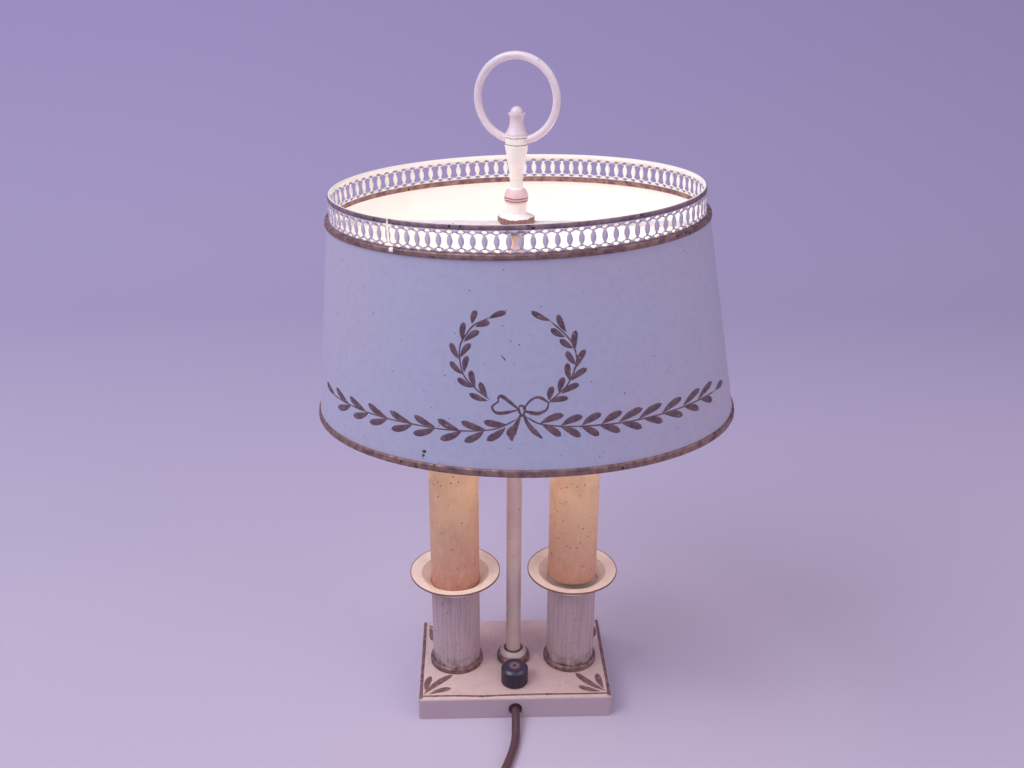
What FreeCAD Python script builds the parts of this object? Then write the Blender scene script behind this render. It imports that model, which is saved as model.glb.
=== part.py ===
import FreeCAD, Part
import math
import os
import re
import Sketcher

# Bouillotte lamp: a low painted base, two candle lights on fluted columns, a rod between them,
# and an oval painted metal shade held on the rod by a finial with a carrying ring.
# Millimetres, +Z up, +X to the right. The origin is on the table under the middle of the base.

os.makedirs("parts", exist_ok=True)
doc = FreeCAD.newDocument("bouillotte_lamp")
V = FreeCAD.Vector

# Driving dimensions
# Each is written once here and kept in the sheet under its own alias.
driving = {
    "fit": 0.05,                   # radial clearance of a shaft in its bore
    "lift_gap": 0.35,              # air between clamped pieces that turn on each other
    # base
    "base_width": 127.5,
    "base_depth": 85.0,
    "base_height": 16.3,
    "base_wall": 1.0,
    "base_round": 2.0,             # top edges
    "base_corner": 2.2,            # upright edges, outside
    "base_inner_corner": 0.8,
    "felt_thickness": 1.2,
    "plate_thickness": 3.1,
    "plate_gap": 0.4,
    # threaded tubes and their nuts
    "tube_radius": 4.9,
    "tube_bore": 3.4,
    "nut_radius": 8.4,             # over the corners
    "nut_height": 3.0,
    "nut_stand": 1.0,              # tube end showing past its nut
    # rod foot
    "collar_radius": 11.1,
    "collar_height": 4.6,
    "collar_round": 1.9,
    "hub_radius": 9.0,
    "hub_top_radius": 6.2,
    "hub_edge": 1.4,
    "hub_height": 4.2,
    # turn switch
    "switch_forward": 25.5,        # in front of the rod
    "switch_radius": 10.5,
    "switch_height": 8.6,
    "bushing_radius": 4.7,
    "bushing_stand": 3.4,
    "switch_nut_radius": 6.6,
    "switch_nut_height": 1.8,
    "shaft_radius": 3.0,
    "shaft_depth": 4.3,            # into the switch
    "shaft_end_gap": 0.3,
    "knob_radius": 8.9,
    "knob_height": 12.4,
    "knob_bevel": 1.7,
    "knob_wall": 1.4,
    "knob_skirt": 4.0,
    "knob_cap": 2.6,
    "knob_ribs": 40,
    "knob_rib_radius": 0.42,
    # columns and drip pans
    "column_pitch": 77.7,          # between the two columns
    "column_radius": 16.0,
    "column_wall": 1.5,
    "column_height": 62.0,
    "flute_count": 36,
    "flute_radius": 1.15,
    "flute_depth": 0.32,
    "foot_ring_width": 1.9,
    "foot_ring_height": 4.0,
    "foot_ring_round": 1.5,
    "pan_floor": 1.2,
    "pan_seat_gap": 0.6,
    "pan_seat_depth": 1.9,
    "pan_step_radius": 22.2,
    "pan_step_rise": 4.6,
    "pan_step": 0.5,
    "pan_rim_radius": 29.7,
    "pan_rim_rise": 1.9,
    "pan_skin": 1.1,
    # candle covers, lampholders and bulbs
    "cover_radius": 16.0,
    "cover_wall": 0.9,
    "cover_length": 127.0,
    "right_cover_lift": 6.4,       # the right cover stands proud of its seat
    "holder_gap": 0.3,             # radial air between a lampholder and its cover
    "holder_below_cover": 2.5,
    "holder_height": 46.0,
    "holder_wall": 1.1,
    "holder_floor": 6.0,
    "holder_cap_height": 8.0,
    "holder_cap_waist": 9.0,
    "screw_shell_wall": 0.4,
    "screw_shell_foot": 8.0,
    "screw_shell_drop": 4.0,
    "contact_radius": 4.0,
    "contact_height": 2.5,
    "bulb_end_gap": 0.3,
    "bulb_cap_gap": 0.15,
    "bulb_cap_height": 24.0,
    "bulb_tip_radius": 3.5,
    "bulb_tip_height": 2.0,
    "bulb_cone_radius": 9.5,
    "bulb_cone_height": 3.2,
    "bulb_neck_height": 16.5,
    "bulb_radius": 24.0,
    "bulb_height": 61.0,
    "bulb_glass": 0.8,
    # shade, all measured square to its own rims
    "shade_foot": 208.2,
    "shade_height": 123.4,
    "shade_length": 254.8,
    "shade_width": 186.0,
    "shade_top_length": 219.7,
    "shade_top_width": 171.8,
    "shade_skin": 0.9,
    "lower_hem_height": 4.4,
    "upper_hem_height": 3.3,
    "hem_out": 1.1,
    "hem_in": 0.7,
    "hem_round": 1.0,
    "gallery_length": 215.0,
    "gallery_width": 168.2,
    "gallery_height": 14.3,
    "gallery_skin": 0.7,
    "gallery_windows": 24,
    "gallery_window_width": 19.0,
    "gallery_window_edge": 1.2,    # plain metal above and below the openings
    "gallery_cutter": 6.0,         # depth of the blocks that cut them
    "gallery_rim_height": 2.6,
    "gallery_rim_out": 0.5,
    "shade_turn": -11.0,           # degrees about the rod, as it stands
    "shade_tilt": 2.6,             # degrees, right end up
    # strap across the shade and what clamps it
    "strap_under_top": 8.7,
    "strap_width": 7.0,
    "strap_thickness": 1.6,
    "strap_hub_radius": 9.5,
    "strap_hole_gap": 0.45,
    "seat_washer_radius": 8.0,
    "seat_washer_height": 1.2,
    # finial
    "lead_washer_radius": 7.5,
    "lead_washer_height": 0.8,
    "rod_over_strap": 19.0,
    "flange_radius": 10.65,
    "flange_edge": 2.2,
    "flange_rise": 2.4,
    "flange_scallops": 28,
    "scallop_radius": 0.55,
    "scallop_out": 0.18,
    "waist_radius": 5.95,
    "waist_height": 5.6,
    "ball_radius": 6.75,
    "ball_height": 9.0,
    "ball_foot_radius": 6.1,
    "neck_radius": 3.7,
    "neck_height": 5.2,
    "bore_top_gap": 0.5,
    "stud_radius": 2.4,
    "stud_in_ball": 3.4,
    "stud_in_cone": 6.0,
    "bead_radius": 4.1,
    "bead_height": 0.8,
    "cone_foot_radius": 3.6,
    "cone_top_radius": 6.6,
    "cone_height": 17.6,
    "spigot_radius": 3.0,
    "spigot_depth": 8.0,
    "ring_collar_radius": 6.3,
    "ring_collar_height": 5.9,
    "ring_above_collar_foot": 2.75,
    "ring_radius": 23.0,
    "ring_thickness": 4.4,
    "ring_turn": -21.0,            # degrees about the rod
    "top_spigot_radius": 2.5,
    "top_spigot_depth": 5.2,
    "tip_edge": 0.9,
    "tip_waist_radius": 3.8,
    "tip_waist_rise": 7.0,
    "tip_hollow": 6.4,
    "tip_lip_radius": 4.85,
    "tip_lip_rise": 3.6,
    "tip_lip_edge": 0.5,
    "tip_dome_radius": 3.7,
    "tip_dome_height": 3.7,
    # mains cord
    "cord_radius": 2.7,
    "cord_exit_height": 7.5,
    "grommet_radius": 4.4,
    "grommet_flange": 0.8,
    "grommet_barrel": 3.5,
    "grommet_depth": 1.3,
    "cord_inside": 6.3,
    "coil_pitch": 6.0,
    "coil_first_radius": 39.0,
    "coil_half_turns": 7,
    "climb_share": 0.75,           # of the rise made in the first half of the half turn between layers
    "plug_neck_lip": 0.6,
    "plug_neck_radius": 4.4,
    "plug_neck_length": 11.0,
    "plug_width": 24.0,
    "plug_length": 26.0,
    "plug_round": 3.0,
    "blade_pitch": 12.7,
    "blade_width": 6.35,
    "blade_thickness": 1.5,
    "blade_length": 17.5,
}

near_enough = 0.001                # what counts as the same place, in mm

sheet = doc.addObject("Spreadsheet::Sheet", "sizes")
for row, (alias, number) in enumerate(driving.items(), start=1):
    sheet.set(f"A{row}", alias)
    sheet.set(f"B{row}", str(number))
    sheet.setAlias(f"B{row}", alias)
doc.recompute()


def bound(text):
    """The same formula with each alias written as a reference to the sheet."""
    return re.sub(r"[a-z_]+", lambda word: "sizes." + word.group() if word.group() in driving else word.group(), text)


def number_of(text):
    """The value that a formula has now."""
    return float(doc.getObject("sizes").evalExpression(bound(text).replace("sizes.", "")))


# Heights that several pieces share, each as a formula of the driving dimensions
plate_foot = "felt_thickness"
plate_top = f"({plate_foot} + plate_thickness)"
base_ceiling = "(base_height - base_wall)"
hub_foot = "(base_height + collar_height)"
pan_foot = "(base_height + column_height)"
pan_seat = f"({pan_foot} + pan_floor)"
pan_mouth = f"({pan_seat} + pan_seat_depth)"
pan_step_height = f"({pan_mouth} + pan_step_rise)"
pan_rim = f"({pan_step_height} + pan_step + pan_rim_rise)"
cover_inner = "(cover_radius - cover_wall)"
holder_top = f"({pan_seat} + cover_length - holder_below_cover)"
holder_foot = f"({holder_top} - holder_height)"
holder_radius = f"({cover_inner} - holder_gap)"
holder_inner = f"({holder_radius} - holder_wall)"
contact_top = f"({holder_foot} + holder_floor + contact_height)"
bulb_foot = f"({contact_top} + bulb_end_gap)"
bulb_cap_foot = f"({bulb_foot} + bulb_tip_height + bulb_cone_height)"
bulb_cap_radius = f"({holder_inner} - screw_shell_wall - bulb_cap_gap)"
glass_foot = f"({bulb_cap_foot} + bulb_cap_height)"
glass_top = f"({glass_foot} + bulb_height)"
shade_top = "(shade_foot + shade_height)"
strap_foot = f"({shade_top} - strap_under_top)"
strap_top = f"({strap_foot} + strap_thickness)"
seat_top = f"({strap_foot} - lift_gap)"
lead_foot = f"({strap_top} + lift_gap)"
flange_foot = f"({lead_foot} + lead_washer_height)"
waist_foot = f"({flange_foot} + flange_edge + flange_rise)"
ball_foot = f"({waist_foot} + waist_height)"
ball_top = f"({ball_foot} + ball_height)"
neck_top = f"({ball_top} + neck_height)"
rod_top = f"({strap_top} + rod_over_strap)"
cone_foot = f"({neck_top} + bead_height)"
cone_top = f"({cone_foot} + cone_height)"
collar_top = f"({cone_top} + ring_collar_height)"
ring_height = f"({cone_top} + ring_above_collar_foot + ring_radius)"


def plane_of(body, role):
    return next(item for item in body.Origin.OriginFeatures if item.Role == role)


def new_sketch(body, name, role):
    sketch = body.newObject("Sketcher::SketchObject", name)
    sketch.AttachmentSupport = [(plane_of(body, role), "")]
    sketch.MapMode = "FlatFace"
    return sketch


def size_constraint(sketch, kind, first, second, name, formula):
    """Holds one coordinate of a sketch point from the sketch's origin."""
    index = sketch.addConstraint(Sketcher.Constraint(kind, -1, 1, first, second, number_of(formula)))
    sketch.renameConstraint(index, name)
    sketch.setExpression(f"Constraints.{name}", bound(formula))


def arc_middle(start, end, radius, side):
    """Middle of the arc from start to end that curves left of the way (side +1) or right of it (-1)."""
    chord = end.sub(start)
    half = chord.Length / 2
    left_of_way = V(-chord.y, chord.x, 0).normalize()
    reach = math.sqrt(max(radius * radius - half * half, 0))
    centre = start.add(end) * 0.5 + left_of_way * (side * reach)
    return centre - left_of_way * (side * radius)


def draw_outline(sketch, outline):
    """Closed outline of (across, up) formulas; a third and fourth entry bend the way to the next point."""
    points = [V(number_of(entry[0]), number_of(entry[1]), 0) for entry in outline]
    ends = []
    for n, entry in enumerate(outline):
        start, end = points[n], points[(n + 1) % len(points)]
        if len(entry) > 2:
            radius, side = number_of(entry[2]), entry[3]
            middle = arc_middle(start, end, radius, side)
            first, last = (start, end) if side > 0 else (end, start)
            index = sketch.addGeometry(Part.ArcOfCircle(first, middle, last))
            ends.append((index, 1, 2) if side > 0 else (index, 2, 1))
            bend = sketch.addConstraint(Sketcher.Constraint("Radius", index, radius))
            sketch.renameConstraint(bend, f"bend_{n}")
            sketch.setExpression(f"Constraints.bend_{n}", bound(entry[2]))
        else:
            ends.append((sketch.addGeometry(Part.LineSegment(start, end)), 1, 2))
    for n, (index, start, end) in enumerate(ends):
        following = ends[(n + 1) % len(ends)]
        sketch.addConstraint(Sketcher.Constraint("Coincident", index, end, following[0], following[1]))
    for n, (index, start, end) in enumerate(ends):
        if outline[n][0] == "0":
            sketch.addConstraint(Sketcher.Constraint("PointOnObject", index, start, -2))
        else:
            size_constraint(sketch, "DistanceX", index, start, f"across_{n}", outline[n][0])
        size_constraint(sketch, "DistanceY", index, start, f"up_{n}", outline[n][1])


def turned(label, outline, across="0"):
    """A piece turned about the vertical axis from an outline of (radius, height) formulas."""
    body = doc.addObject("PartDesign::Body", label)
    sketch = new_sketch(body, label + "_outline", "XZ_Plane")
    draw_outline(sketch, outline)
    turn = body.newObject("PartDesign::Revolution", label + "_turn")
    turn.Profile = sketch
    turn.ReferenceAxis = (sketch, ["V_Axis"])
    turn.Angle = 360.0
    body.Tip = turn
    if across != "0":
        body.setExpression("Placement.Base.x", bound(across))
    doc.recompute()
    return body


def tube_outline(inner, outer, foot, top):
    return [(inner, foot), (outer, foot), (outer, top), (inner, top)]


def circle_edges(shape, corners):
    """Names of the round edges that lie at the given (radius, height) formulas."""
    wanted = [(number_of(radius), number_of(height)) for radius, height in corners]
    names = []
    for index, edge in enumerate(shape.Edges, start=1):
        if not isinstance(edge.Curve, Part.Circle):
            continue
        here = (edge.Curve.Radius, edge.Curve.Center.z)
        if any(math.dist(here, corner) < near_enough for corner in wanted):
            names.append(f"Edge{index}")
    return names


def rounded(body, corners, radius):
    """Rounds the turned edges of a body that lie at the given corners."""
    base = body.Tip
    fillet = body.newObject("PartDesign::Fillet", body.Name + "_round")
    fillet.Base = (base, circle_edges(base.Shape, corners))
    fillet.setExpression("Radius", bound(radius))
    body.Tip = fillet
    doc.recompute()
    return body


def grooved(body, name, count, centre, radius, foot):
    """Cuts evenly spaced upright round grooves from a foot height upwards all round a body."""
    before = body.Shape.Volume
    sketch = new_sketch(body, name + "_groove", "XY_Plane")
    sketch.setExpression("AttachmentOffset.Base.z", bound(foot))
    index = sketch.addGeometry(Part.Circle(V(number_of(centre), 0, 0), V(0, 0, 1), number_of(radius)))
    sketch.addConstraint(Sketcher.Constraint("PointOnObject", index, 3, -1))
    size_constraint(sketch, "DistanceX", index, 3, "centre", centre)
    width = sketch.addConstraint(Sketcher.Constraint("Radius", index, number_of(radius)))
    sketch.renameConstraint(width, "width")
    sketch.setExpression("Constraints.width", bound(radius))
    pocket = body.newObject("PartDesign::Pocket", name + "_cut")
    pocket.Profile = sketch
    pocket.Type = "ThroughAll"
    pocket.Reversed = True
    body.Tip = pocket
    doc.recompute()
    pattern = body.newObject("PartDesign::PolarPattern", name + "_all")
    pattern.Originals = [pocket]
    pattern.Axis = (sketch, ["N_Axis"])
    pattern.Angle = 360.0
    pattern.setExpression("Occurrences", bound(count))
    body.Tip = pattern
    doc.recompute()
    if body.Shape.Volume >= before:
        raise ValueError(name + " cut nothing")
    return body


def solid(kind, name, place, **formulas):
    """A Part primitive with its sizes and its corner or centre bound to formulas."""
    piece = doc.addObject(kind, name)
    for size, formula in formulas.items():
        piece.setExpression(size, bound(formula))
    for axis, formula in zip("xyz", place):
        piece.setExpression(f"Placement.Base.{axis}", bound(formula))
    return piece


def block(name, place, width, depth, height):
    """An upright box centred left to right and front to back on its place."""
    corner = (f"{place[0]} - {width} / 2", f"{place[1]} - {depth} / 2", place[2])
    return solid("Part::Box", name, corner, Length=width, Width=depth, Height=height)


def cylinder(name, place, radius, height):
    return solid("Part::Cylinder", name, place, Radius=radius, Height=height)


def cut(label, base, tools):
    """What is left of a solid when the tools are taken out of it."""
    taken = tools[0]
    if len(tools) > 1:
        taken = doc.addObject("Part::MultiFuse", label + "_tools")
        taken.Shapes = tools
    piece = doc.addObject("Part::Cut", label)
    piece.Base = base
    piece.Tool = taken
    doc.recompute()
    return piece


def edges_rounded(label, base, edges, radius):
    """A solid with some of its numbered edges rounded."""
    piece = doc.addObject("Part::Fillet", label)
    piece.Base = base
    piece.Edges = [(n, number_of(radius), number_of(radius)) for n in edges]
    doc.recompute()
    return piece


def rounded_upright(label, box, radius):
    """A block with its upright edges rounded."""
    doc.recompute()
    upright = [n for n, edge in enumerate(box.Shape.Edges, start=1) if edge.BoundBox.ZLength > near_enough]
    return edges_rounded(label, box, upright, radius)


def hexagon(name, place, radius, height):
    nut = solid("Part::Prism", name, place, Circumradius=radius, Height=height)
    nut.Polygon = 6
    return nut


def loft(name, rims):
    """A ruled solid between level ellipses, each given as length, width and height formulas."""
    sections = []
    for number, (length, width, height) in enumerate(rims):
        rim = solid("Part::Ellipse", f"{name}_rim_{number}", ("0", "0", height),
                    MajorRadius=f"({length}) / 2", MinorRadius=f"({width}) / 2")
        sections.append(rim)
    form = doc.addObject("Part::Loft", name)
    form.Sections = sections
    form.Solid = True
    form.Ruled = True
    doc.recompute()
    return form


nodes = []


def keep(piece, label=None):
    """Lists a finished piece under the name of its file."""
    piece.Label = label or piece.Name
    nodes.append(piece)
    return piece


# Base: a pressed metal box, open below, over a weight plate with a felt pad
left = "(0 - column_pitch / 2)"
right = "(column_pitch / 2)"
sides = {"left": left, "right": right}
switch_y = "(0 - switch_forward)"

box = block("base_box", ("0", "0", "0"), "base_width", "base_depth", "base_height")
softened = rounded_upright("base_softened", box, "base_corner")
top_edges = [n for n, edge in enumerate(softened.Shape.Edges, start=1)
             if edge.BoundBox.ZMin > number_of("base_height") - near_enough]
pressed = edges_rounded("base_pressed", softened, top_edges, "base_round")
room = block("base_room", ("0", "0", "0"), "(base_width - 2 * base_wall)", "(base_depth - 2 * base_wall)",
             base_ceiling)
hollow = rounded_upright("base_hollow", room, "base_inner_corner")
holes = [cylinder("rod_hole", ("0", "0", base_ceiling), "tube_radius + fit", "base_wall"),
         cylinder("switch_hole", ("0", switch_y, base_ceiling), "bushing_radius + fit", "base_wall")]
for side, across in sides.items():
    holes.append(cylinder(f"{side}_riser_hole", (across, "0", base_ceiling), "tube_radius + fit", "base_wall"))
cord_hole = solid("Part::Cylinder", "cord_hole", ("0", "base_wall - base_depth / 2", "cord_exit_height"),
                  Radius="grommet_barrel + fit", Height="base_wall")
cord_hole.Placement.Rotation = FreeCAD.Rotation(V(1, 0, 0), 90)
keep(cut("base_shell", pressed, [hollow, cord_hole] + holes))

plate = block("weight_block", ("0", "0", plate_foot), "(base_width - 2 * base_wall - 2 * plate_gap)",
              "(base_depth - 2 * base_wall - 2 * plate_gap)", "plate_thickness")
keep(cut("weight_plate", plate, [cylinder("plate_hole", ("0", "0", plate_foot), "tube_radius", "plate_thickness")]))
keep(block("felt_pad", ("0", "0", "0"), "(base_width - 2 * base_wall - 2 * plate_gap)",
           "(base_depth - 2 * base_wall - 2 * plate_gap)", "felt_thickness"))

# Rod: a threaded tube screwed into the plate, with nuts inside the base and a two-part foot outside
keep(turned("rod", tube_outline("tube_bore", "tube_radius", plate_foot, rod_top)))


def nut(label, places):
    """Identical hexagon nuts on threaded tubes, as separate solids of one node."""
    made = []
    for number, (across, foot) in enumerate(places):
        blank = hexagon(f"{label}_hex_{number}", (across, "0", foot), "nut_radius", "nut_height")
        bore = cylinder(f"{label}_bore_{number}", (across, "0", foot), "tube_radius", "nut_height")
        made.append(cut(f"{label}_{number}", blank, [bore]))
    if len(made) == 1:
        return keep(made[0], label)
    group = doc.addObject("Part::Compound", label)
    group.Links = made
    doc.recompute()
    return keep(group)


under_ceiling = f"({base_ceiling} - nut_height)"
nut("rod_nuts", [("0", plate_top), ("0", under_ceiling)])
nut("riser_nuts", [(left, under_ceiling), (right, under_ceiling)])
keep(turned("rod_collar", tube_outline("tube_radius + fit", "collar_radius", "base_height", hub_foot)))
rounded(nodes[-1], [("collar_radius", hub_foot)], "collar_round")
keep(turned("rod_hub", [("tube_radius + fit", hub_foot), ("hub_radius", hub_foot),
                        ("hub_radius", f"{hub_foot} + hub_edge"),
                        ("hub_top_radius", f"{hub_foot} + hub_height"),
                        ("tube_radius + fit", f"{hub_foot} + hub_height")]))

# Turn switch under the front of the base
switch_foot = f"({base_ceiling} - switch_height)"
shaft_foot = f"({base_ceiling} - shaft_depth)"
knob_foot = "(base_height + lift_gap)"
knob_top = f"({knob_foot} + knob_height)"
bushing_top = "(base_height + bushing_stand)"
shaft_bore = "(shaft_radius + fit)"
switch_pieces = [
    turned("switch_body", [("0", switch_foot), ("switch_radius", switch_foot), ("switch_radius", base_ceiling),
                           (shaft_bore, base_ceiling), (shaft_bore, f"{shaft_foot} - shaft_end_gap"),
                           ("0", f"{shaft_foot} - shaft_end_gap")]),
    turned("switch_bushing", tube_outline(shaft_bore, "bushing_radius", base_ceiling, bushing_top)),
    turned("switch_shaft", [("0", shaft_foot), ("shaft_radius", shaft_foot),
                            ("shaft_radius", f"{knob_top} - knob_cap"), ("0", f"{knob_top} - knob_cap")]),
    turned("switch_knob", [("shaft_radius", f"{knob_foot} + knob_skirt"), ("shaft_radius", f"{knob_top} - knob_cap"),
                           ("0", f"{knob_top} - knob_cap"), ("0", knob_top),
                           ("knob_radius - knob_bevel", knob_top), ("knob_radius", f"{knob_top} - knob_bevel"),
                           ("knob_radius", knob_foot), ("knob_radius - knob_wall", knob_foot),
                           ("knob_radius - knob_wall", f"{knob_foot} + knob_skirt")]),
]
grooved(switch_pieces[-1], "knob_rib", "knob_ribs", "knob_radius", "knob_rib_radius", "0 - base_height")
for piece in switch_pieces:
    piece.setExpression("Placement.Base.y", bound(switch_y))
    keep(piece)
switch_hex = hexagon("switch_nut_hex", ("0", switch_y, "base_height"), "switch_nut_radius", "switch_nut_height")
switch_nut_bore = cylinder("switch_nut_bore", ("0", switch_y, "base_height"), "bushing_radius", "switch_nut_height")
keep(cut("switch_nut", switch_hex, [switch_nut_bore]))

# Candle lights, one on each side
cover_foot = {"left": pan_seat, "right": f"({pan_seat} + right_cover_lift)"}
seat_wall = "(cover_radius + pan_seat_gap)"
glass_neck = bulb_cap_radius
for side, across in sides.items():
    keep(turned(f"foot_ring_{side}", tube_outline("column_radius + fit", "column_radius + foot_ring_width",
                                                  "base_height", "base_height + foot_ring_height"), across))
    rounded(nodes[-1], [("column_radius + foot_ring_width", "base_height + foot_ring_height")], "foot_ring_round")
    keep(turned(f"column_{side}", tube_outline("column_radius - column_wall", "column_radius",
                                               "base_height", pan_foot), across))
    grooved(nodes[-1], f"flute_{side}", "flute_count", "column_radius + flute_radius - flute_depth",
            "flute_radius", "0")
    keep(turned(f"riser_{side}", tube_outline("tube_bore", "tube_radius", f"{under_ceiling} - nut_stand",
                                              holder_foot), across))
    keep(turned(f"drip_pan_{side}", [
        ("tube_radius + fit", pan_foot), (f"{seat_wall} + pan_skin", pan_foot),
        (f"{seat_wall} + pan_skin", f"{pan_mouth} - pan_skin"),
        ("pan_step_radius + pan_skin", f"{pan_step_height} - pan_skin"),
        ("pan_rim_radius", f"{pan_rim} - pan_skin"), ("pan_rim_radius", pan_rim),
        ("pan_step_radius", f"{pan_step_height} + pan_step"), ("pan_step_radius", pan_step_height),
        (seat_wall, pan_mouth), (seat_wall, pan_seat), ("tube_radius + fit", pan_seat)], across))
    keep(turned(f"candle_cover_{side}", tube_outline(cover_inner, "cover_radius", cover_foot[side],
                                                     f"{cover_foot[side]} + cover_length"), across))
    keep(turned(f"holder_cap_{side}", [
        ("tube_radius", f"{holder_foot} - holder_cap_height"), ("holder_cap_waist", f"{holder_foot} - holder_cap_height"),
        (holder_radius, f"{holder_foot} - holder_cap_height / 2"), (holder_radius, holder_foot),
        ("tube_radius", holder_foot)], across))
    keep(turned(f"holder_body_{side}", [
        ("0", holder_foot), (holder_radius, holder_foot), (holder_radius, holder_top), (holder_inner, holder_top),
        (holder_inner, f"{holder_foot} + holder_floor"), ("0", f"{holder_foot} + holder_floor")], across))
    keep(turned(f"screw_shell_{side}", tube_outline(f"{holder_inner} - screw_shell_wall", holder_inner,
                                                    f"{holder_foot} + screw_shell_foot",
                                                    f"{holder_top} - screw_shell_drop"), across))
    keep(turned(f"holder_contact_{side}", [
        ("0", f"{holder_foot} + holder_floor"), ("contact_radius", f"{holder_foot} + holder_floor"),
        ("contact_radius", contact_top), ("0", contact_top)], across))
    keep(turned(f"bulb_cap_{side}", [
        ("0", bulb_foot), ("bulb_tip_radius", bulb_foot), ("bulb_tip_radius", f"{bulb_foot} + bulb_tip_height"),
        ("bulb_cone_radius", bulb_cap_foot), (bulb_cap_radius, bulb_cap_foot), (bulb_cap_radius, glass_foot),
        ("0", glass_foot)], across))
    keep(turned(f"bulb_glass_{side}", [
        (f"{glass_neck} - bulb_glass", glass_foot), (glass_neck, glass_foot),
        (glass_neck, f"{glass_foot} + bulb_neck_height"),
        ("bulb_radius", f"{glass_top} - bulb_radius", "bulb_radius", 1),
        ("0", glass_top), ("0", f"{glass_top} - bulb_glass", "bulb_radius - bulb_glass", -1),
        ("bulb_radius - bulb_glass", f"{glass_top} - bulb_radius"),
        (f"{glass_neck} - bulb_glass", f"{glass_foot} + bulb_neck_height")], across))

# Shade group, built upright and then turned and tilted as one about the strap
pivot = V(0, 0, number_of(strap_foot))
leaning = FreeCAD.Rotation(V(0, -1, 0), number_of("shade_tilt"))
turned_round = FreeCAD.Rotation(V(0, 0, 1), number_of("shade_turn"))
shade_pose = FreeCAD.Placement(pivot - leaning.multVec(pivot), leaning * turned_round)


def on_shade(piece, label=None):
    piece.Placement = shade_pose
    return keep(piece, label)


def shade_rim(height, inset, out="0"):
    """Length, width and height of the shade's skin at a height above its foot, moved in or out."""
    share = f"(({height}) / shade_height)"
    length = f"shade_length + (shade_top_length - shade_length) * {share} - 2 * {inset} + 2 * {out}"
    width = f"shade_width + (shade_top_width - shade_width) * {share} - 2 * {inset} + 2 * {out}"
    return length, width, f"shade_foot + ({height})"


skin_foot = "lower_hem_height"
skin_top = "(shade_height - upper_hem_height)"
outer_skin = loft("shade_outside", [shade_rim(skin_foot, "0"), shade_rim(skin_top, "0")])
inner_skin = loft("shade_inside", [shade_rim(skin_foot, "shade_skin"), shade_rim(skin_top, "shade_skin")])
on_shade(cut("shade_shell", outer_skin, [inner_skin]))


def hem(label, foot, top):
    """A rolled edge that the skin's rim stands in, rounded on its outside."""
    outside = loft(label + "_outside", [shade_rim(foot, "0", "hem_out"), shade_rim(top, "0", "hem_out")])
    inside = loft(label + "_inside", [shade_rim(foot, "(shade_skin + hem_in)"), shade_rim(top, "(shade_skin + hem_in)")])
    band = cut(label + "_band", outside, [inside])
    least_reach = number_of(shade_rim(top, "0")[0]) / 2    # between the inner rims and the outer ones
    rims = [n for n, edge in enumerate(band.Shape.Edges, start=1)
            if edge.BoundBox.ZLength < near_enough and edge.BoundBox.XMax > least_reach]
    return on_shade(edges_rounded(label, band, rims, "hem_round"))


hem("lower_hem", "0", "lower_hem_height")
hem("upper_hem", skin_top, "shade_height")


def gallery_band(label, foot, top, out, inset):
    """A level oval band of the gallery between two heights above the shade's top."""
    outside = loft(label + "_outside", [
        (f"gallery_length + 2 * {out}", f"gallery_width + 2 * {out}", f"{shade_top} + {foot}"),
        (f"gallery_length + 2 * {out}", f"gallery_width + 2 * {out}", f"{shade_top} + {top}")])
    inside = loft(label + "_inside", [
        (f"gallery_length - 2 * {inset}", f"gallery_width - 2 * {inset}", f"{shade_top} + {foot}"),
        (f"gallery_length - 2 * {inset}", f"gallery_width - 2 * {inset}", f"{shade_top} + {top}")])
    return cut(label, outside, [inside])


def gallery_window(number):
    """A block set square to the oval, at one of the even steps along it, that cuts one opening."""
    window = solid("Part::Box", f"gallery_window_{number}", (), Length="gallery_window_width",
                   Width="gallery_cutter", Height=f"{rim_foot} - 2 * gallery_window_edge")
    oval = Part.Ellipse(V(), number_of("gallery_length / 2"), number_of("gallery_width / 2")).toShape()
    way = oval.getParameterByLength(oval.Length * (number - 1 / 2) / driving["gallery_windows"])
    along = oval.tangentAt(way)
    square = FreeCAD.Rotation(V(0, 0, 1), math.degrees(math.atan2(along.y, along.x)))
    foot = V(0, 0, number_of(f"{shade_top} + gallery_window_edge"))
    middle = V(number_of("gallery_window_width / 2"), number_of("gallery_cutter / 2"), 0)
    window.Placement = FreeCAD.Placement(oval.valueAt(way) + foot - square.multVec(middle), square)
    return window


rim_foot = "(gallery_height - gallery_rim_height)"
strip = gallery_band("gallery_whole_strip", "0", rim_foot, "0", "gallery_skin")
windows = [gallery_window(number) for number in range(1, driving["gallery_windows"] + 1)]
on_shade(cut("gallery_strip", strip, windows))
on_shade(gallery_band("gallery_rim", rim_foot, "gallery_height", "gallery_rim_out",
                      "(gallery_skin + gallery_rim_out)"))

strap_bar = block("strap_bar", ("0", "0", strap_foot), "shade_length", "strap_width", "strap_thickness")
strap_disc = cylinder("strap_disc", ("0", "0", strap_foot), "strap_hub_radius", "strap_thickness")
strap_whole = doc.addObject("Part::MultiFuse", "strap_whole")
strap_whole.Shapes = [strap_bar, strap_disc]
strap_room = loft("strap_room", [shade_rim(skin_foot, "shade_skin"), shade_rim(skin_top, "shade_skin")])
strap_fitted = doc.addObject("Part::Common", "strap_fitted")
strap_fitted.Base = strap_whole
strap_fitted.Tool = strap_room
strap_hole = cylinder("strap_hole", ("0", "0", strap_foot), "tube_radius + strap_hole_gap", "strap_thickness")
on_shade(cut("shade_strap", strap_fitted, [strap_hole]))

# What the strap sits on
washer_foot = f"({seat_top} - seat_washer_height)"
keep(turned("seat_washer", tube_outline("tube_radius + fit", "seat_washer_radius", washer_foot, seat_top)))
nut("seat_nut", [("0", f"({washer_foot} - nut_height)")])

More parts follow.
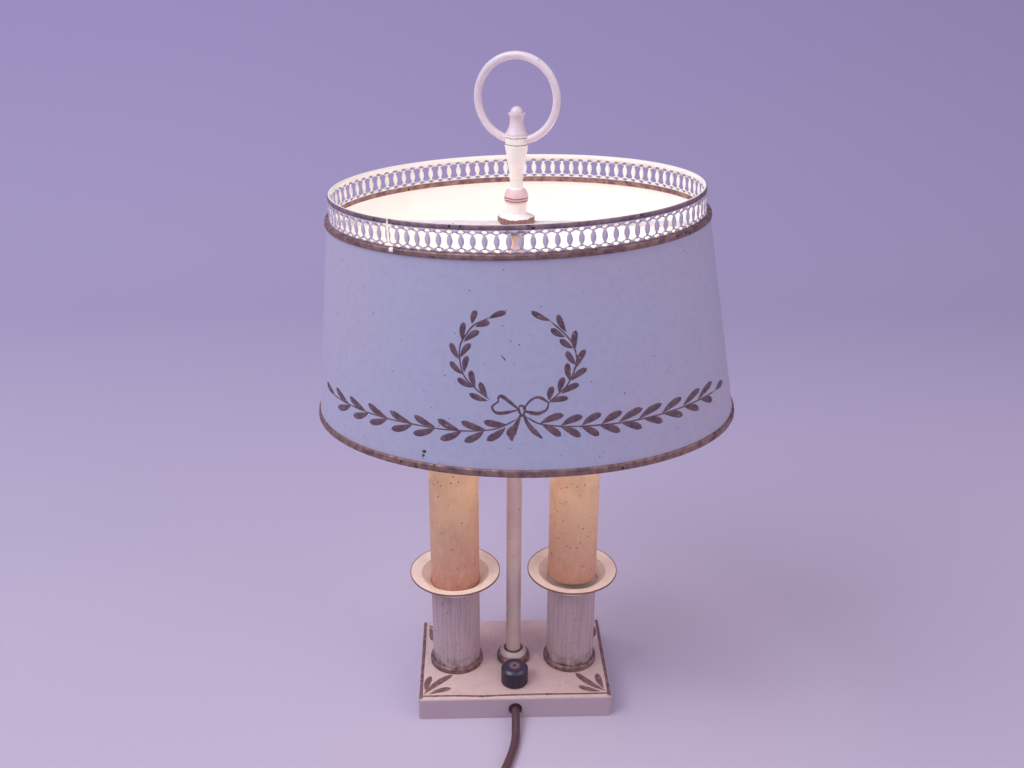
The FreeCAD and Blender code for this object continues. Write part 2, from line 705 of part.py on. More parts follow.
# Finial: a thin washer, then turned pieces stacked on the rod's end, and a fixed upright ring
rod_clear = "(tube_radius + fit)"
keep(turned("lead_washer", tube_outline(rod_clear, "lead_washer_radius", lead_foot, flange_foot)))
keep(turned("finial_flange", [
    (rod_clear, flange_foot), ("flange_radius", flange_foot), ("flange_radius", f"{flange_foot} + flange_edge"),
    ("waist_radius", waist_foot), ("waist_radius", ball_foot), (rod_clear, ball_foot)]))
grooved(nodes[-1], "scallop", "flange_scallops", "flange_radius + scallop_out", "scallop_radius", "0")
bore_top = f"({rod_top} + bore_top_gap)"
keep(turned("finial_ball", [
    (rod_clear, ball_foot), ("ball_foot_radius", ball_foot, "ball_radius", 1),
    ("neck_radius", ball_top), ("neck_radius", neck_top), ("stud_radius", neck_top),
    ("stud_radius", f"{neck_top} - stud_in_ball"), ("0", f"{neck_top} - stud_in_ball"), ("0", bore_top),
    (rod_clear, bore_top)]))
keep(turned("finial_stud", [
    ("0", f"{neck_top} - stud_in_ball"), ("stud_radius", f"{neck_top} - stud_in_ball"),
    ("stud_radius", f"{cone_foot} + stud_in_cone"), ("0", f"{cone_foot} + stud_in_cone")]))
keep(turned("finial_bead", tube_outline("stud_radius", "bead_radius", neck_top, cone_foot)))
keep(turned("finial_cone", [
    ("stud_radius", cone_foot), ("cone_foot_radius", cone_foot), ("cone_top_radius", cone_top),
    ("spigot_radius", cone_top), ("spigot_radius", f"{cone_top} - spigot_depth"),
    ("0", f"{cone_top} - spigot_depth"), ("0", f"{cone_foot} + stud_in_cone"),
    ("stud_radius", f"{cone_foot} + stud_in_cone")]))
collar = turned("collar_blank", [
    ("0", f"{cone_top} - spigot_depth"), ("spigot_radius", f"{cone_top} - spigot_depth"), ("spigot_radius", cone_top),
    ("ring_collar_radius", cone_top), ("ring_collar_radius", collar_top), ("top_spigot_radius", collar_top),
    ("top_spigot_radius", f"{collar_top} + top_spigot_depth"), ("0", f"{collar_top} + top_spigot_depth")])


def upright_ring(name):
    ring = solid("Part::Torus", name, ("0", "0", ring_height), Radius1="ring_radius", Radius2="ring_thickness / 2")
    stand = FreeCAD.Rotation(V(1, 0, 0), 90)
    ring.Placement.Rotation = FreeCAD.Rotation(V(0, 0, 1), number_of("ring_turn")) * stand
    return ring


keep(cut("ring_collar", collar, [upright_ring("ring_way")]))
keep(upright_ring("carrying_ring"))
tip_waist = f"({collar_top} + tip_edge + tip_waist_rise)"
tip_lip = f"({tip_waist} + tip_lip_rise)"
dome_foot = f"({tip_lip} + tip_lip_edge)"
keep(turned("finial_tip", [
    ("top_spigot_radius", collar_top), ("ring_collar_radius", collar_top),
    ("ring_collar_radius", f"{collar_top} + tip_edge", "tip_hollow * 2", -1),
    ("tip_waist_radius", tip_waist, "tip_hollow", -1),
    ("tip_lip_radius", tip_lip), ("tip_lip_radius", dome_foot), ("tip_dome_radius", dome_foot, "tip_dome_radius", 1),
    ("0", f"{dome_foot} + tip_dome_height"), ("0", f"{collar_top} + top_spigot_depth"),
    ("top_spigot_radius", f"{collar_top} + top_spigot_depth")]))

# Mains cord: through a grommet in the front wall, along the table, round a coil and into the plug
forward = FreeCAD.Rotation(V(1, 0, 0), 90)


def through_front(label, outline):
    """A piece turned about the cord's way out; heights in the outline run outwards from the front wall."""
    piece = turned(label, outline)
    piece.Placement = FreeCAD.Placement(V(0, -number_of("base_depth") / 2, number_of("cord_exit_height")), forward)
    return keep(piece)


through_front("cord_grommet", [
    ("cord_radius + fit", "0 - grommet_depth"), ("grommet_barrel", "0 - grommet_depth"), ("grommet_barrel", "0"),
    ("grommet_radius", "0"), ("grommet_radius", "grommet_flange"), ("cord_radius + fit", "grommet_flange")])
through_front("cord_inner", [
    ("0", "0 - cord_inside"), ("cord_radius", "0 - cord_inside"), ("cord_radius", "grommet_flange"),
    ("0", "grommet_flange")])

cord_radius = number_of("cord_radius")
cord_width = 2 * cord_radius
coil_pitch = number_of("coil_pitch")
coil_first = number_of("coil_first_radius")
coil_half_turns = int(number_of("coil_half_turns"))
climb_share = number_of("climb_share")
bend_share = 0.45
table_level = cord_radius
upper_level = table_level + coil_pitch
exit_point = V(0, -number_of("base_depth / 2 + grommet_flange"), number_of("cord_exit_height"))
coil_start = V(-17, -150, table_level)
way_down = V(0, -1, 0)
coil_mouth = coil_start - way_down * cord_width
lead_points = [exit_point, V(0, -50, 7.3), V(-0.2, -57.5, 4.6), V(-0.6, -66, table_level),
               V(-2.8, -76.2, table_level), V(-6.4, -87.6, table_level), V(-10.9, -99.4, table_level),
               V(-14.4, -112.4, table_level), V(-16.5, -124.8, table_level), V(-17, -135.2, table_level), coil_mouth]
coil_end = V(coil_start.x, coil_start.y, upper_level)
coil_exit = coil_end + way_down * cord_width
tail_points = [coil_exit, V(-17, -168, upper_level), V(-15.5, -181, upper_level), V(-12.2, -193, upper_level)]


def swept(label, edges):
    """A round tube of the cord's size along a path of lines and arcs."""
    path = Part.Wire(edges)
    first = edges[0]
    start = first.valueAt(first.FirstParameter)
    section = Part.Wire([Part.makeCircle(cord_radius, start, first.tangentAt(first.FirstParameter))])
    piece = doc.addObject("Part::Feature", label)
    piece.Shape = path.makePipeShell([section], True, False)
    share = piece.Shape.Volume / (math.pi * cord_radius ** 2 * path.Length)
    print(f"{label}: length {path.Length:.1f} mm, volume over section times length {share:.4f}")
    return keep(piece)


def bent_path(points):
    """Straight runs joined by arcs that take a share of the shorter run on each side of a point."""
    edges = []
    radii = []
    here = points[0]
    for before, corner, after in zip(points, points[1:], points[2:]):
        back, on = before - corner, after - corner
        trim = bend_share * min(back.Length, on.Length)
        half_turn = (math.pi - back.getAngle(on)) / 2
        radii.append(trim / math.tan(half_turn))
        back.normalize()
        on.normalize()
        arc_start = corner + back * trim
        arc_end = corner + on * trim
        inward = back + on
        inward.normalize()
        centre = corner + inward * (radii[-1] / math.cos(half_turn))
        bend_middle = centre - inward * radii[-1]
        edges.append(Part.LineSegment(here, arc_start).toShape())
        edges.append(Part.Arc(arc_start, bend_middle, arc_end).toShape())
        here = arc_end
    edges.append(Part.LineSegment(here, points[-1]).toShape())
    print("bend radii", ", ".join(f"{radius:.0f}" for radius in radii))
    return edges


def tangent_arc(start, heading, end):
    """The arc that leaves start along heading and reaches end."""
    chord = end - start
    off = chord - heading * chord.dot(heading)
    radius = chord.dot(chord) / (2 * off.Length)
    off.normalize()
    centre = start + off * radius
    middle = (start - centre) + (end - centre)
    middle.normalize()
    return Part.Arc(start, centre + middle * radius, end)


def biarc(start, heading, end, arriving):
    """Two arcs with one tangent where they meet, from one point and heading to another."""
    chord = end - start
    both = heading + arriving
    square = 2 * (1 - heading.dot(arriving))
    along = chord.dot(both)
    reach = (math.sqrt(along * along + square * chord.dot(chord)) - along) / square
    meeting = (start + heading * reach + end - arriving * reach) * 0.5
    second = tangent_arc(end, arriving * -1, meeting)
    return [tangent_arc(start, heading, meeting).toShape(), Part.Arc(meeting, second.value(
        (second.FirstParameter + second.LastParameter) / 2), end).toShape()]


def half_round(start, radius, side):
    """Level half turn; side is -1 from the right of the coil to its left, +1 on the way back."""
    centre = start + V(side * radius, 0, 0)
    return Part.Arc(start, centre + V(0, side * radius, 0), centre + V(side * radius, 0, 0)).toShape()


def coil_path():
    """In towards the middle on the table, up a layer in a half turn, and out again on top."""
    edges = [Part.LineSegment(coil_mouth, coil_start).toShape()]
    here, side, radius = V(coil_start), -1, coil_first
    for step in range(coil_half_turns):
        edges.append(half_round(here, radius, side))
        here = here + V(2 * side * radius, 0, 0)
        side, radius = -side, radius - coil_pitch / 2
    centre = here + V(side * radius, 0, 0)
    rise = upper_level - table_level
    top = centre + V(0, side * radius, rise / 2)
    lean = V(side * math.pi * radius / 2, 0, rise * climb_share)
    lean.normalize()
    end = centre + V(side * radius, 0, rise)
    edges += biarc(here, V(0, side, 0), top, lean)
    edges += biarc(top, lean, end, V(0, -side, 0))
    here = end
    for step in range(coil_half_turns + 1):
        side, radius = -side, radius + coil_pitch / 2
        edges.append(half_round(here, radius, side))
        here = here + V(2 * side * radius, 0, 0)
    edges.append(Part.LineSegment(here, here + way_down * cord_width).toShape())
    return edges


def least_gap(edges):
    """Smallest air between parts of a wound cord that are more than half a turn apart."""
    path = Part.Wire(edges)
    step = cord_radius / 2
    points = path.discretize(Distance=step)
    skip = int(2 * math.pi * coil_pitch / step)
    near = min(points[i].distanceToPoint(points[j])
               for i in range(0, len(points), 2) for j in range(i + skip, len(points), 2))
    return near - cord_width


swept("cord_lead", bent_path(lead_points))
coil_edges = coil_path()
print(f"cord_coil: least gap {least_gap(coil_edges):.2f} mm")
swept("cord_coil", coil_edges)
swept("cord_tail", bent_path(tail_points))

plug_heading = tail_points[-1] - tail_points[-2]
plug_turn = math.degrees(math.atan2(plug_heading.x, -plug_heading.y))
plug_pose = FreeCAD.Placement(tail_points[-1], FreeCAD.Rotation(V(0, 0, 1), plug_turn) * forward)
plug_thickness = "(2 * (cord_radius + coil_pitch))"
keep(turned("plug_neck", [
    ("0", "0"), ("cord_radius + plug_neck_lip", "0"), ("plug_neck_radius", "plug_neck_length"), ("0", "plug_neck_length")]))
nodes[-1].Placement = plug_pose
plug_block = block("plug_block", ("0", "0", "plug_neck_length"), "plug_width", plug_thickness, "plug_length")
doc.recompute()
plug_body = edges_rounded("plug_body", plug_block, range(1, len(plug_block.Shape.Edges) + 1), "plug_round")
plug_body.Placement = plug_pose
keep(plug_body)
blade_foot = "(plug_neck_length + plug_length)"
blades = doc.addObject("Part::Compound", "plug_blades")
blades.Links = [block(f"blade_{n}", (f"{n} * blade_pitch / 2", "0", blade_foot), "blade_thickness", "blade_width",
                      "blade_length") for n in (-1, 1)]
blades.Placement = plug_pose
keep(blades)

# Check every object, then write one file for each piece
doc.recompute()
for item in doc.Objects:
    if "Invalid" in item.State or "Error" in item.State:
        raise ValueError(f"{item.Name} failed: {item.State}")
for piece in nodes:
    if piece.Shape.isNull() or not piece.Shape.isValid() or piece.Shape.Volume <= 0:
        raise ValueError(f"{piece.Label} has no sound shape")
for piece in nodes:
    piece.Shape.exportStep(f"parts/{piece.Label}.step")
print(len(nodes), "pieces written")
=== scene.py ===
import math
import bmesh
import bpy
import numpy as np
from mathutils import Matrix, Vector


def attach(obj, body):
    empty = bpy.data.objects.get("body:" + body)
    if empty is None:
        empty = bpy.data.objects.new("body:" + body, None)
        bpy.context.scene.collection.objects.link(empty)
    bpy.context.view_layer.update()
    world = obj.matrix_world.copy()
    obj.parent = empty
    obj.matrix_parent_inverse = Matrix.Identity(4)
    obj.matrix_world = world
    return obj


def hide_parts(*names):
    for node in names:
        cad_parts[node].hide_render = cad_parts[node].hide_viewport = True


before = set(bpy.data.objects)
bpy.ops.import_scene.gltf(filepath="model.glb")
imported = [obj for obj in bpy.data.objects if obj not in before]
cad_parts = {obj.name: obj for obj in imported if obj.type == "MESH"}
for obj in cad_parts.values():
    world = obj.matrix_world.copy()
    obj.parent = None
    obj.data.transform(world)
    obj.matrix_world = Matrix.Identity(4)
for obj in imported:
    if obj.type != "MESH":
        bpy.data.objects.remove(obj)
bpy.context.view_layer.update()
mm = 0.001
print("frame loaded:", len(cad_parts), "nodes")

# Sizes in mm that the finishes need as well as the pieces
columnHalfPitch = 38.85
shade = dict(foot=208.2, height=123.4, length=254.8, width=186.0, topLength=219.7, topWidth=171.8,
             turn=math.radians(-11.0), tilt=math.radians(2.6), pivot=322.9)
gallery = dict(length=215.0, width=168.2, stripTop=343.3, skin=0.7, skinInset=0.5, count=99,
               ringHalfWidth=4.3, ringHalfHeight=4.85, middle=337.45, wire=0.3, leastHole=0.25,
               holeShare=0.93, endTaper=0.22, smallHole=(1.65, 0.88), smallCorner=0.16, smallRaise=0.2,
               seam=-31.0, seamGap=1.7)


# Colours and shader nodes

def rgb(red, green, blue):
    # screen colour from 0 to 255, as the linear light that the shader takes
    share = np.array([red, green, blue]) / 255
    linear = np.where(share <= 0.04045, share / 12.92, ((share + 0.055) / 1.055) ** 2.4)
    return (*linear.tolist(), 1.0)


class Nodes:
    # adds nodes to one material and links them, so that a finish reads as a recipe
    def __init__(self, name):
        self.material = bpy.data.materials.new(name)
        self.material.use_nodes = True
        self.tree = self.material.node_tree
        self.shader = self.tree.nodes["Principled BSDF"]
        self.place = self.add("ShaderNodeTexCoord")
        self.coords = self.place.outputs["Object"]

    def add(self, kind, **settings):
        node = self.tree.nodes.new(kind)
        for key, value in settings.items():
            setattr(node, key, value)
        return node

    def put(self, socket, value):
        if isinstance(value, bpy.types.NodeSocket):
            self.tree.links.new(value, socket)
        else:
            socket.default_value = value

    def math(self, operation, first, second=0.5, clamp=False):
        node = self.add("ShaderNodeMath", operation=operation, use_clamp=clamp)
        self.put(node.inputs[0], first)
        self.put(node.inputs[1], second)
        return node.outputs[0]

    def ramp(self, value, low, high, start=0.0, end=1.0):
        # start below low, end above high, and a straight change between them
        node = self.add("ShaderNodeMapRange")
        for socket, number in zip(node.inputs[:5], (value, low, high, start, end)):
            self.put(socket, number)
        return node.outputs[0]

    def mix(self, factor, first, second):
        node = self.add("ShaderNodeMix", data_type="RGBA")
        self.put(node.inputs["Factor"], factor)
        self.put(node.inputs["A"], first)
        self.put(node.inputs["B"], second)
        return node.outputs["Result"]

    def stretch(self, scale, turn=(0, 0, 0)):
        node = self.add("ShaderNodeMapping")
        self.put(node.inputs["Vector"], self.coords)
        node.inputs["Scale"].default_value = scale
        node.inputs["Rotation"].default_value = turn
        return node.outputs[0]

    def noise(self, scale, detail=3.0, vector=None, rough=0.55):
        node = self.add("ShaderNodeTexNoise")
        self.put(node.inputs["Vector"], vector or self.coords)
        node.inputs["Scale"].default_value = scale
        node.inputs["Detail"].default_value = detail
        node.inputs["Roughness"].default_value = rough
        return node.outputs["Fac"]

    def specks(self, scale, size, share):
        # round spots: a share of the cells, picked by each cell's own random value, has one
        node = self.add("ShaderNodeTexVoronoi")
        self.put(node.inputs["Vector"], self.coords)
        node.inputs["Scale"].default_value = scale
        near = self.math("LESS_THAN", node.outputs["Distance"], size)
        picked = self.math("LESS_THAN", self.axis("x", node.outputs["Color"]), share)
        return self.math("MULTIPLY", near, picked)

    def axis(self, letter, vector=None):
        node = self.add("ShaderNodeSeparateXYZ")
        self.put(node.inputs[0], vector or self.coords)
        return node.outputs[letter.upper()]

    def flattened(self, vector=None):
        # the place with its height taken away
        node = self.add("ShaderNodeVectorMath", operation="MULTIPLY")
        self.put(node.inputs[0], vector or self.coords)
        node.inputs[1].default_value = (1, 1, 0)
        return node.outputs[0]

    def fromAxis(self, x, y):
        # distance from the upright line through x, y
        away = self.add("ShaderNodeVectorMath", operation="DISTANCE")
        self.put(away.inputs[0], self.flattened())
        away.inputs[1].default_value = (x, y, 0)
        return away.outputs["Value"]

    def facing(self):
        # distance from the rod in metres, times how far the surface faces away from it
        dot = self.add("ShaderNodeVectorMath", operation="DOT_PRODUCT")
        self.put(dot.inputs[0], self.place.outputs["Normal"])
        self.put(dot.inputs[1], self.flattened())
        return dot.outputs["Value"]

    def bump(self, height, distance, strength=1.0, under=None):
        node = self.add("ShaderNodeBump")
        node.inputs["Strength"].default_value = strength
        node.inputs["Distance"].default_value = distance
        self.put(node.inputs["Height"], height)
        if under:
            self.put(node.inputs["Normal"], under)
        return node.outputs["Normal"]

    def finish(self, colour, roughness, normal=None, **fixed):
        self.put(self.shader.inputs["Base Color"], colour)
        self.put(self.shader.inputs["Roughness"], roughness)
        if normal:
            self.put(self.shader.inputs["Normal"], normal)
        for name, value in fixed.items():
            self.put(self.shader.inputs[name.replace("_", " ")], value)
        return self.material


# Aged enamel: two tones that drift into each other, fine mottling, dark specks and small chips
def enamel(name, look, extra=None):
    n = Nodes(name)
    drift = n.noise(look["driftScale"], 3)
    colour = n.mix(n.ramp(drift, 0.35, 0.65), look["colour"], look["secondColour"])
    mottle = n.noise(look["mottleScale"], 4)
    colour = n.mix(n.ramp(mottle, 0.4, 0.75, 0, look["mottle"]), colour, look["mottleColour"])
    if look["streak"]:
        streaks = n.noise(1.0, 3, n.stretch(look["streakScale"]))
        colour = n.mix(n.ramp(streaks, 0.48, 0.7, 0, look["streak"]), colour, look["streakColour"])
    share = n.ramp(n.noise(look["speckSpread"], 2), 0.35, 0.75, look["speckShare"] * 0.15, look["speckShare"])
    size = n.ramp(n.noise(look["speckSpread"] * 5, 2), 0.3, 0.7, 0.08, look["speckSize"])
    specks = n.specks(look["speckScale"], size, share)
    colour = n.mix(specks, colour, look["speckColour"])
    if extra:
        colour = extra(n, colour)
    skin = n.noise(look["skinScale"], 2)
    height = n.math("SUBTRACT", skin, n.math("MULTIPLY", specks, 0.8))
    rough = n.ramp(mottle, 0.3, 0.7, look["rough"] - 0.07, look["rough"] + 0.09)
    return n.finish(colour, rough, n.bump(height, look["skinDepth"], 0.5),
                    Coat_Weight=look["coat"], Coat_Roughness=0.35)


enamelBase = dict(driftScale=14, mottleScale=120, mottle=0.35, speckSpread=60, speckSize=0.34, speckScale=700,
                  speckShare=0.10, speckColour=rgb(84, 62, 66), streak=0.0, skinScale=900,
                  skinDepth=0.06 * mm, rough=0.5, coat=0.0)

shadeLook = dict(enamelBase, colour=rgb(174, 175, 206), secondColour=rgb(182, 170, 196), driftScale=5,
                 mottleColour=rgb(156, 152, 186), mottle=0.3, mottleScale=260, speckSpread=40, speckSize=0.3,
                 speckShare=0.05, speckScale=520, speckColour=rgb(124, 114, 150), rough=0.56,
                 insideColour=rgb(248, 243, 240))


def shadeInside(n, colour):
    return n.mix(n.ramp(n.facing(), -0.0005, 0.0005), shadeLook["insideColour"], colour)


# the side colour is painted shade on the base's upright faces
creamLook = dict(enamelBase, colour=rgb(214, 186, 182), secondColour=rgb(206, 178, 178),
                 mottleColour=rgb(186, 156, 154), coat=0.15, shadedSideColour=rgb(184, 162, 176))
# the drip pans' cream is painted lighter than the base's, as painted light from the bulbs above; their brown
# rim is real paint
litPanLook = dict(creamLook, colour=rgb(252, 236, 222), secondColour=rgb(248, 226, 212), mottle=0.25,
               speckShare=0.06, rimColour=rgb(132, 96, 96), rimRadius=29.2 * mm, rimSoft=0.2 * mm)
# the columns' cream is painted greyer, about as the base's shaded sides, as painted shade on their upright
# faces; their streaks and specks are their own
shadedColumnLook = dict(creamLook, colour=rgb(184, 162, 174), secondColour=rgb(192, 166, 170), streak=0.5,
                  streakScale=(700, 700, 22), streakColour=rgb(134, 112, 126), speckShare=0.22,
                  speckSpread=45, footShadeAndGrimeColour=rgb(92, 62, 72), footShadeAndGrimeFoot=20.0 * mm, footShadeAndGrimeTop=29.0 * mm)
rodLook = dict(creamLook, colour=rgb(216, 190, 182), secondColour=rgb(200, 174, 176), speckShare=0.3,
               speckSpread=70)
hubLook = dict(rodLook, colour=rgb(204, 184, 184), secondColour=rgb(190, 168, 172),
               lineColour=rgb(96, 66, 70))
# the finial's cream is painted near white, as painted light from the bulbs below it; its lines and pink band
# are real paint
litFinialLook = dict(creamLook, colour=rgb(255, 250, 246), secondColour=rgb(254, 244, 240),
                  mottleColour=rgb(236, 218, 218), mottle=0.25, speckShare=0.02,
                  lineColour=rgb(150, 108, 106), ballColour=rgb(232, 198, 202))
# the paler patch on the knob's top is a painted reflection
knobLook = dict(colour=rgb(44, 32, 56), second=rgb(56, 40, 70), paintedLightPatch=rgb(134, 108, 116), reflectionRadius=5.2 * mm,
                dot=rgb(40, 26, 36), dotRadius=1.8 * mm, forward=-25.5 * mm, topFrom=28.4 * mm,
                topTo=28.9 * mm, wander=1.5 * mm)


def baseSidesPaintedShade(n, colour):
    # painted shade: its upright sides are painted a cooler, greyer tone than its top, as if out of the light
    upright = n.ramp(n.axis("z", n.place.outputs["Normal"]), 0.25, 0.7, 1, 0)
    return n.mix(upright, colour, creamLook["shadedSideColour"])


def panRim(n, colour, across):
    # the pan's outermost edge is painted brown all round
    edge = n.ramp(n.fromAxis(across * mm, 0), litPanLook["rimRadius"] - litPanLook["rimSoft"], litPanLook["rimRadius"])
    return n.mix(edge, colour, litPanLook["rimColour"])


def columnFootShadeAndGrime(n, colour):
    # darker in patches just above the foot ring: painted shade where the column meets its foot, with old
    # grime
    low = n.ramp(n.axis("z"), shadedColumnLook["footShadeAndGrimeFoot"], shadedColumnLook["footShadeAndGrimeTop"], 1, 0)
    paintedLightPatch = n.ramp(n.noise(160, 4), 0.42, 0.62)
    return n.mix(n.math("MULTIPLY", low, paintedLightPatch), colour, shadedColumnLook["footShadeAndGrimeColour"])


# levels are heights in mm, and a line reaches its half width to each side of its level
lineForm = dict(softEdge=0.6 * mm, wander=1.2 * mm)
flangeLines = dict(levels=(326.2, 326.9, 327.6), halfWidth=0.55, colour=litFinialLook["lineColour"])
ballLines = dict(levels=(337.8, 339.3), halfWidth=0.4, colour=litFinialLook["lineColour"], bandFoot=336.1,
                 bandTop=344.5)
collarLines = dict(levels=(369.4, 373.2), halfWidth=0.22, colour=litFinialLook["lineColour"])
hubLines = dict(levels=(25.0,), halfWidth=0.3, colour=hubLook["lineColour"])


def linesAt(lines, bandColour=None):
    # thin painted lines round a turned piece, over a band of another colour
    def draw(n, colour):
        if bandColour:
            foot, top, soft = lines["bandFoot"] * mm, lines["bandTop"] * mm, lineForm["softEdge"]
            over = n.ramp(n.axis("z"), foot, foot + soft)
            under = n.ramp(n.axis("z"), top, top - soft)
            colour = n.mix(n.math("MULTIPLY", over, under), colour, bandColour)
        wander = n.math("MULTIPLY", n.math("SUBTRACT", n.noise(260, 2)), lineForm["wander"])
        height = n.math("ADD", n.axis("z"), wander)
        for level in lines["levels"]:
            away = n.math("ABSOLUTE", n.math("SUBTRACT", height, level * mm))
            colour = n.mix(n.math("LESS_THAN", away, lines["halfWidth"] * mm), colour, lines["colour"])
        return colour
    return draw


# Rubbed brown-gold trim: a metallic paint with darker hollows and paler rubs
def trimPaint(name, look, extra=None):
    n = Nodes(name)
    rub = n.noise(look["rubScale"], 5)
    colour = n.mix(n.ramp(rub, 0.35, 0.68), look["dark"], look["light"])
    fleck = n.specks(look["fleckScale"], 0.35, 0.08)
    colour = n.mix(fleck, colour, look["fleckColour"])
    metal = look["metal"]
    if extra:
        colour, metal = extra(n, colour, metal)
    rough = n.ramp(rub, 0.3, 0.7, look["rough"] + 0.12, look["rough"] - 0.08)
    return n.finish(colour, rough, n.bump(rub, 0.00012, 0.5), Metallic=metal)


trimLook = dict(dark=rgb(104, 76, 84), light=rgb(156, 124, 118), fleckColour=rgb(66, 46, 60), rubScale=240,
                fleckScale=380, rough=0.46, metal=0.35)
leafLook = dict(trimLook, dark=rgb(88, 66, 84), light=rgb(122, 96, 106), fleckColour=rgb(150, 128, 140),
                metal=0.2, rubScale=320, fleckScale=600)
# the base sprigs take the leaves' paint made lighter, as painted light falling on the base's top
litSprigLook = dict(leafLook, dark=rgb(112, 82, 84), light=rgb(150, 114, 108))


def seamPaleMarked(n, colour, metal, painted):
    # bare metal where nothing is painted, and a small pale mark where the gallery's ends meet
    near = n.ramp(n.fromAxis(*seamPaleMark["place"]), seamPaleMark["radius"] * 0.8, seamPaleMark["radius"], 1, 0)
    tab = n.math("MULTIPLY", near, n.ramp(n.axis("z"), seamPaleMark["foot"], seamPaleMark["foot"] + 0.0003))
    painted = n.math("MULTIPLY", painted, n.math("SUBTRACT", 1.0, tab))
    return n.mix(painted, shadeLook["insideColour"], colour), n.math("MULTIPLY", painted, metal)


def hemOutside(n, colour, metal):
    # brown on all but the inside
    return seamPaleMarked(n, colour, metal, n.ramp(n.facing(), -0.03, -0.02))


def beyondStrip(n, colour, metal):
    # brown from the gallery's skin outwards: across and along the oval, as shares of its half axes,
    # the place is more than 1 from the middle
    long, short = gallery["length"] / 2 - gallery["skinInset"], gallery["width"] / 2 - gallery["skinInset"]
    node = n.add("ShaderNodeMapping", vector_type="TEXTURE")
    n.put(node.inputs["Vector"], n.coords)
    node.inputs["Rotation"].default_value = (0, 0, shade["turn"])
    node.inputs["Scale"].default_value = (long * mm, short * mm, 1)
    size = n.add("ShaderNodeVectorMath", operation="LENGTH")
    n.put(size.inputs[0], n.flattened(node.outputs[0]))
    return seamPaleMarked(n, colour, metal, n.ramp(size.outputs["Value"], 0.998, 1.002))


def rimOutside(n, colour, metal):
    return seamPaleMarked(n, colour, metal, n.ramp(n.facing(), 0.005, 0.02))


seamPaleMark = dict(place=(-67.6 * mm, -64.7 * mm), radius=1.5 * mm, foot=326.4 * mm)


def metal(name, colour, second, rough, grain=(60, 60, 900)):
    # turned metal: fine rings of grain and patches of tarnish
    n = Nodes(name)
    ring = n.noise(1.0, 3, n.stretch(grain))
    tarnish = n.noise(70, 4)
    tone = n.mix(n.ramp(tarnish, 0.35, 0.7), colour, second)
    return n.finish(tone, n.ramp(tarnish, 0.3, 0.7, rough - 0.06, rough + 0.12), n.bump(ring, 0.00004, 0.4),
                    Metallic=1.0)


# low is the sleeve's own colour low down, high a painted glow from the bulb above it
cardLook = dict(unlitBelow=82 * mm, fullGlowFrom=170 * mm, low=rgb(196, 142, 128), high=rgb(250, 212, 166),
                blotch=rgb(186, 136, 126), fibre=rgb(248, 218, 176), fibreScale=(420, 420, 160),
                speck=rgb(150, 104, 90))


def candleCardWithGlow(name, look):
    # stained paper sleeve, blotched and faintly fibrous; painted glow makes it honey coloured near the bulb,
    # and browner lower down
    n = Nodes(name)
    height = n.ramp(n.axis("z"), look["unlitBelow"], look["fullGlowFrom"])
    colour = n.mix(height, look["low"], look["high"])
    blotch = n.noise(34, 4, rough=0.6)
    colour = n.mix(n.ramp(blotch, 0.45, 0.72, 0, 0.5), colour, look["blotch"])
    fibre = n.noise(1.0, 3, n.stretch(look["fibreScale"]))
    colour = n.mix(n.ramp(fibre, 0.5, 0.8, 0, 0.25), colour, look["fibre"])
    colour = n.mix(n.specks(620, 0.34, 0.05), colour, look["speck"])
    return n.finish(colour, n.ramp(blotch, 0.3, 0.7, 0.52, 0.7), n.bump(fibre, 0.00008, 0.5),
                    Subsurface_Weight=0.08, Subsurface_Radius=(0.004, 0.002, 0.001), Subsurface_Scale=0.4)


def plastic(name, colour, second, rough, coat=0.0, grain=700):
    n = Nodes(name)
    cloud = n.noise(60, 4)
    tone = n.mix(n.ramp(cloud, 0.35, 0.7), colour, second)
    return n.finish(tone, n.ramp(cloud, 0.3, 0.7, rough - 0.05, rough + 0.1),
                    n.bump(n.noise(grain, 2), 0.00004, 0.4), Coat_Weight=coat, Coat_Roughness=0.2)


def knobPlastic(name, look):
    # black moulded knob with a dark dot in the middle of its top, and round it a paler patch that is a
    # painted reflection
    n = Nodes(name)
    cloud = n.noise(160, 4)
    tone = n.mix(n.ramp(cloud, 0.35, 0.7), look["colour"], look["second"])
    away = n.math("ADD", n.fromAxis(0, look["forward"]), n.math("MULTIPLY", cloud, look["wander"]))
    top = n.ramp(n.axis("z"), look["topFrom"], look["topTo"])
    paintedLightPatch = n.math("MULTIPLY", n.ramp(away, look["reflectionRadius"] * 0.6, look["reflectionRadius"], 0.8, 0), top)
    tone = n.mix(paintedLightPatch, tone, look["paintedLightPatch"])
    dot = n.math("MULTIPLY", n.math("LESS_THAN", away, look["dotRadius"]), top)
    tone = n.mix(dot, tone, look["dot"])
    return n.finish(tone, n.ramp(cloud, 0.3, 0.7, 0.3, 0.45), n.bump(n.noise(700, 2), 0.00004, 0.4),
                    Coat_Weight=0.4, Coat_Roughness=0.25)


def feltCloth(name):
    n = Nodes(name)
    fibre = n.noise(1400, 4, rough=0.7)
    tone = n.mix(n.ramp(fibre, 0.3, 0.7), rgb(60, 70, 58), rgb(96, 104, 86))
    return n.finish(tone, 0.95, n.bump(fibre, 0.0004, 0.8), Sheen_Weight=0.3)


def litGlass(name, look):
    # frosted bulb that is switched on: warm, and a little brighter round its middle
    n = Nodes(name)
    frost = n.noise(900, 3)
    glow = n.mix(n.ramp(n.axis("z"), look["neck"], look["middle"]), look["neckGlow"], look["glow"])
    n.put(n.shader.inputs["Emission Color"], glow)
    return n.finish(look["colour"], n.ramp(frost, 0.3, 0.7, 0.45, 0.6), n.bump(frost, 0.00005, 0.4),
                    Emission_Strength=look["strength"])


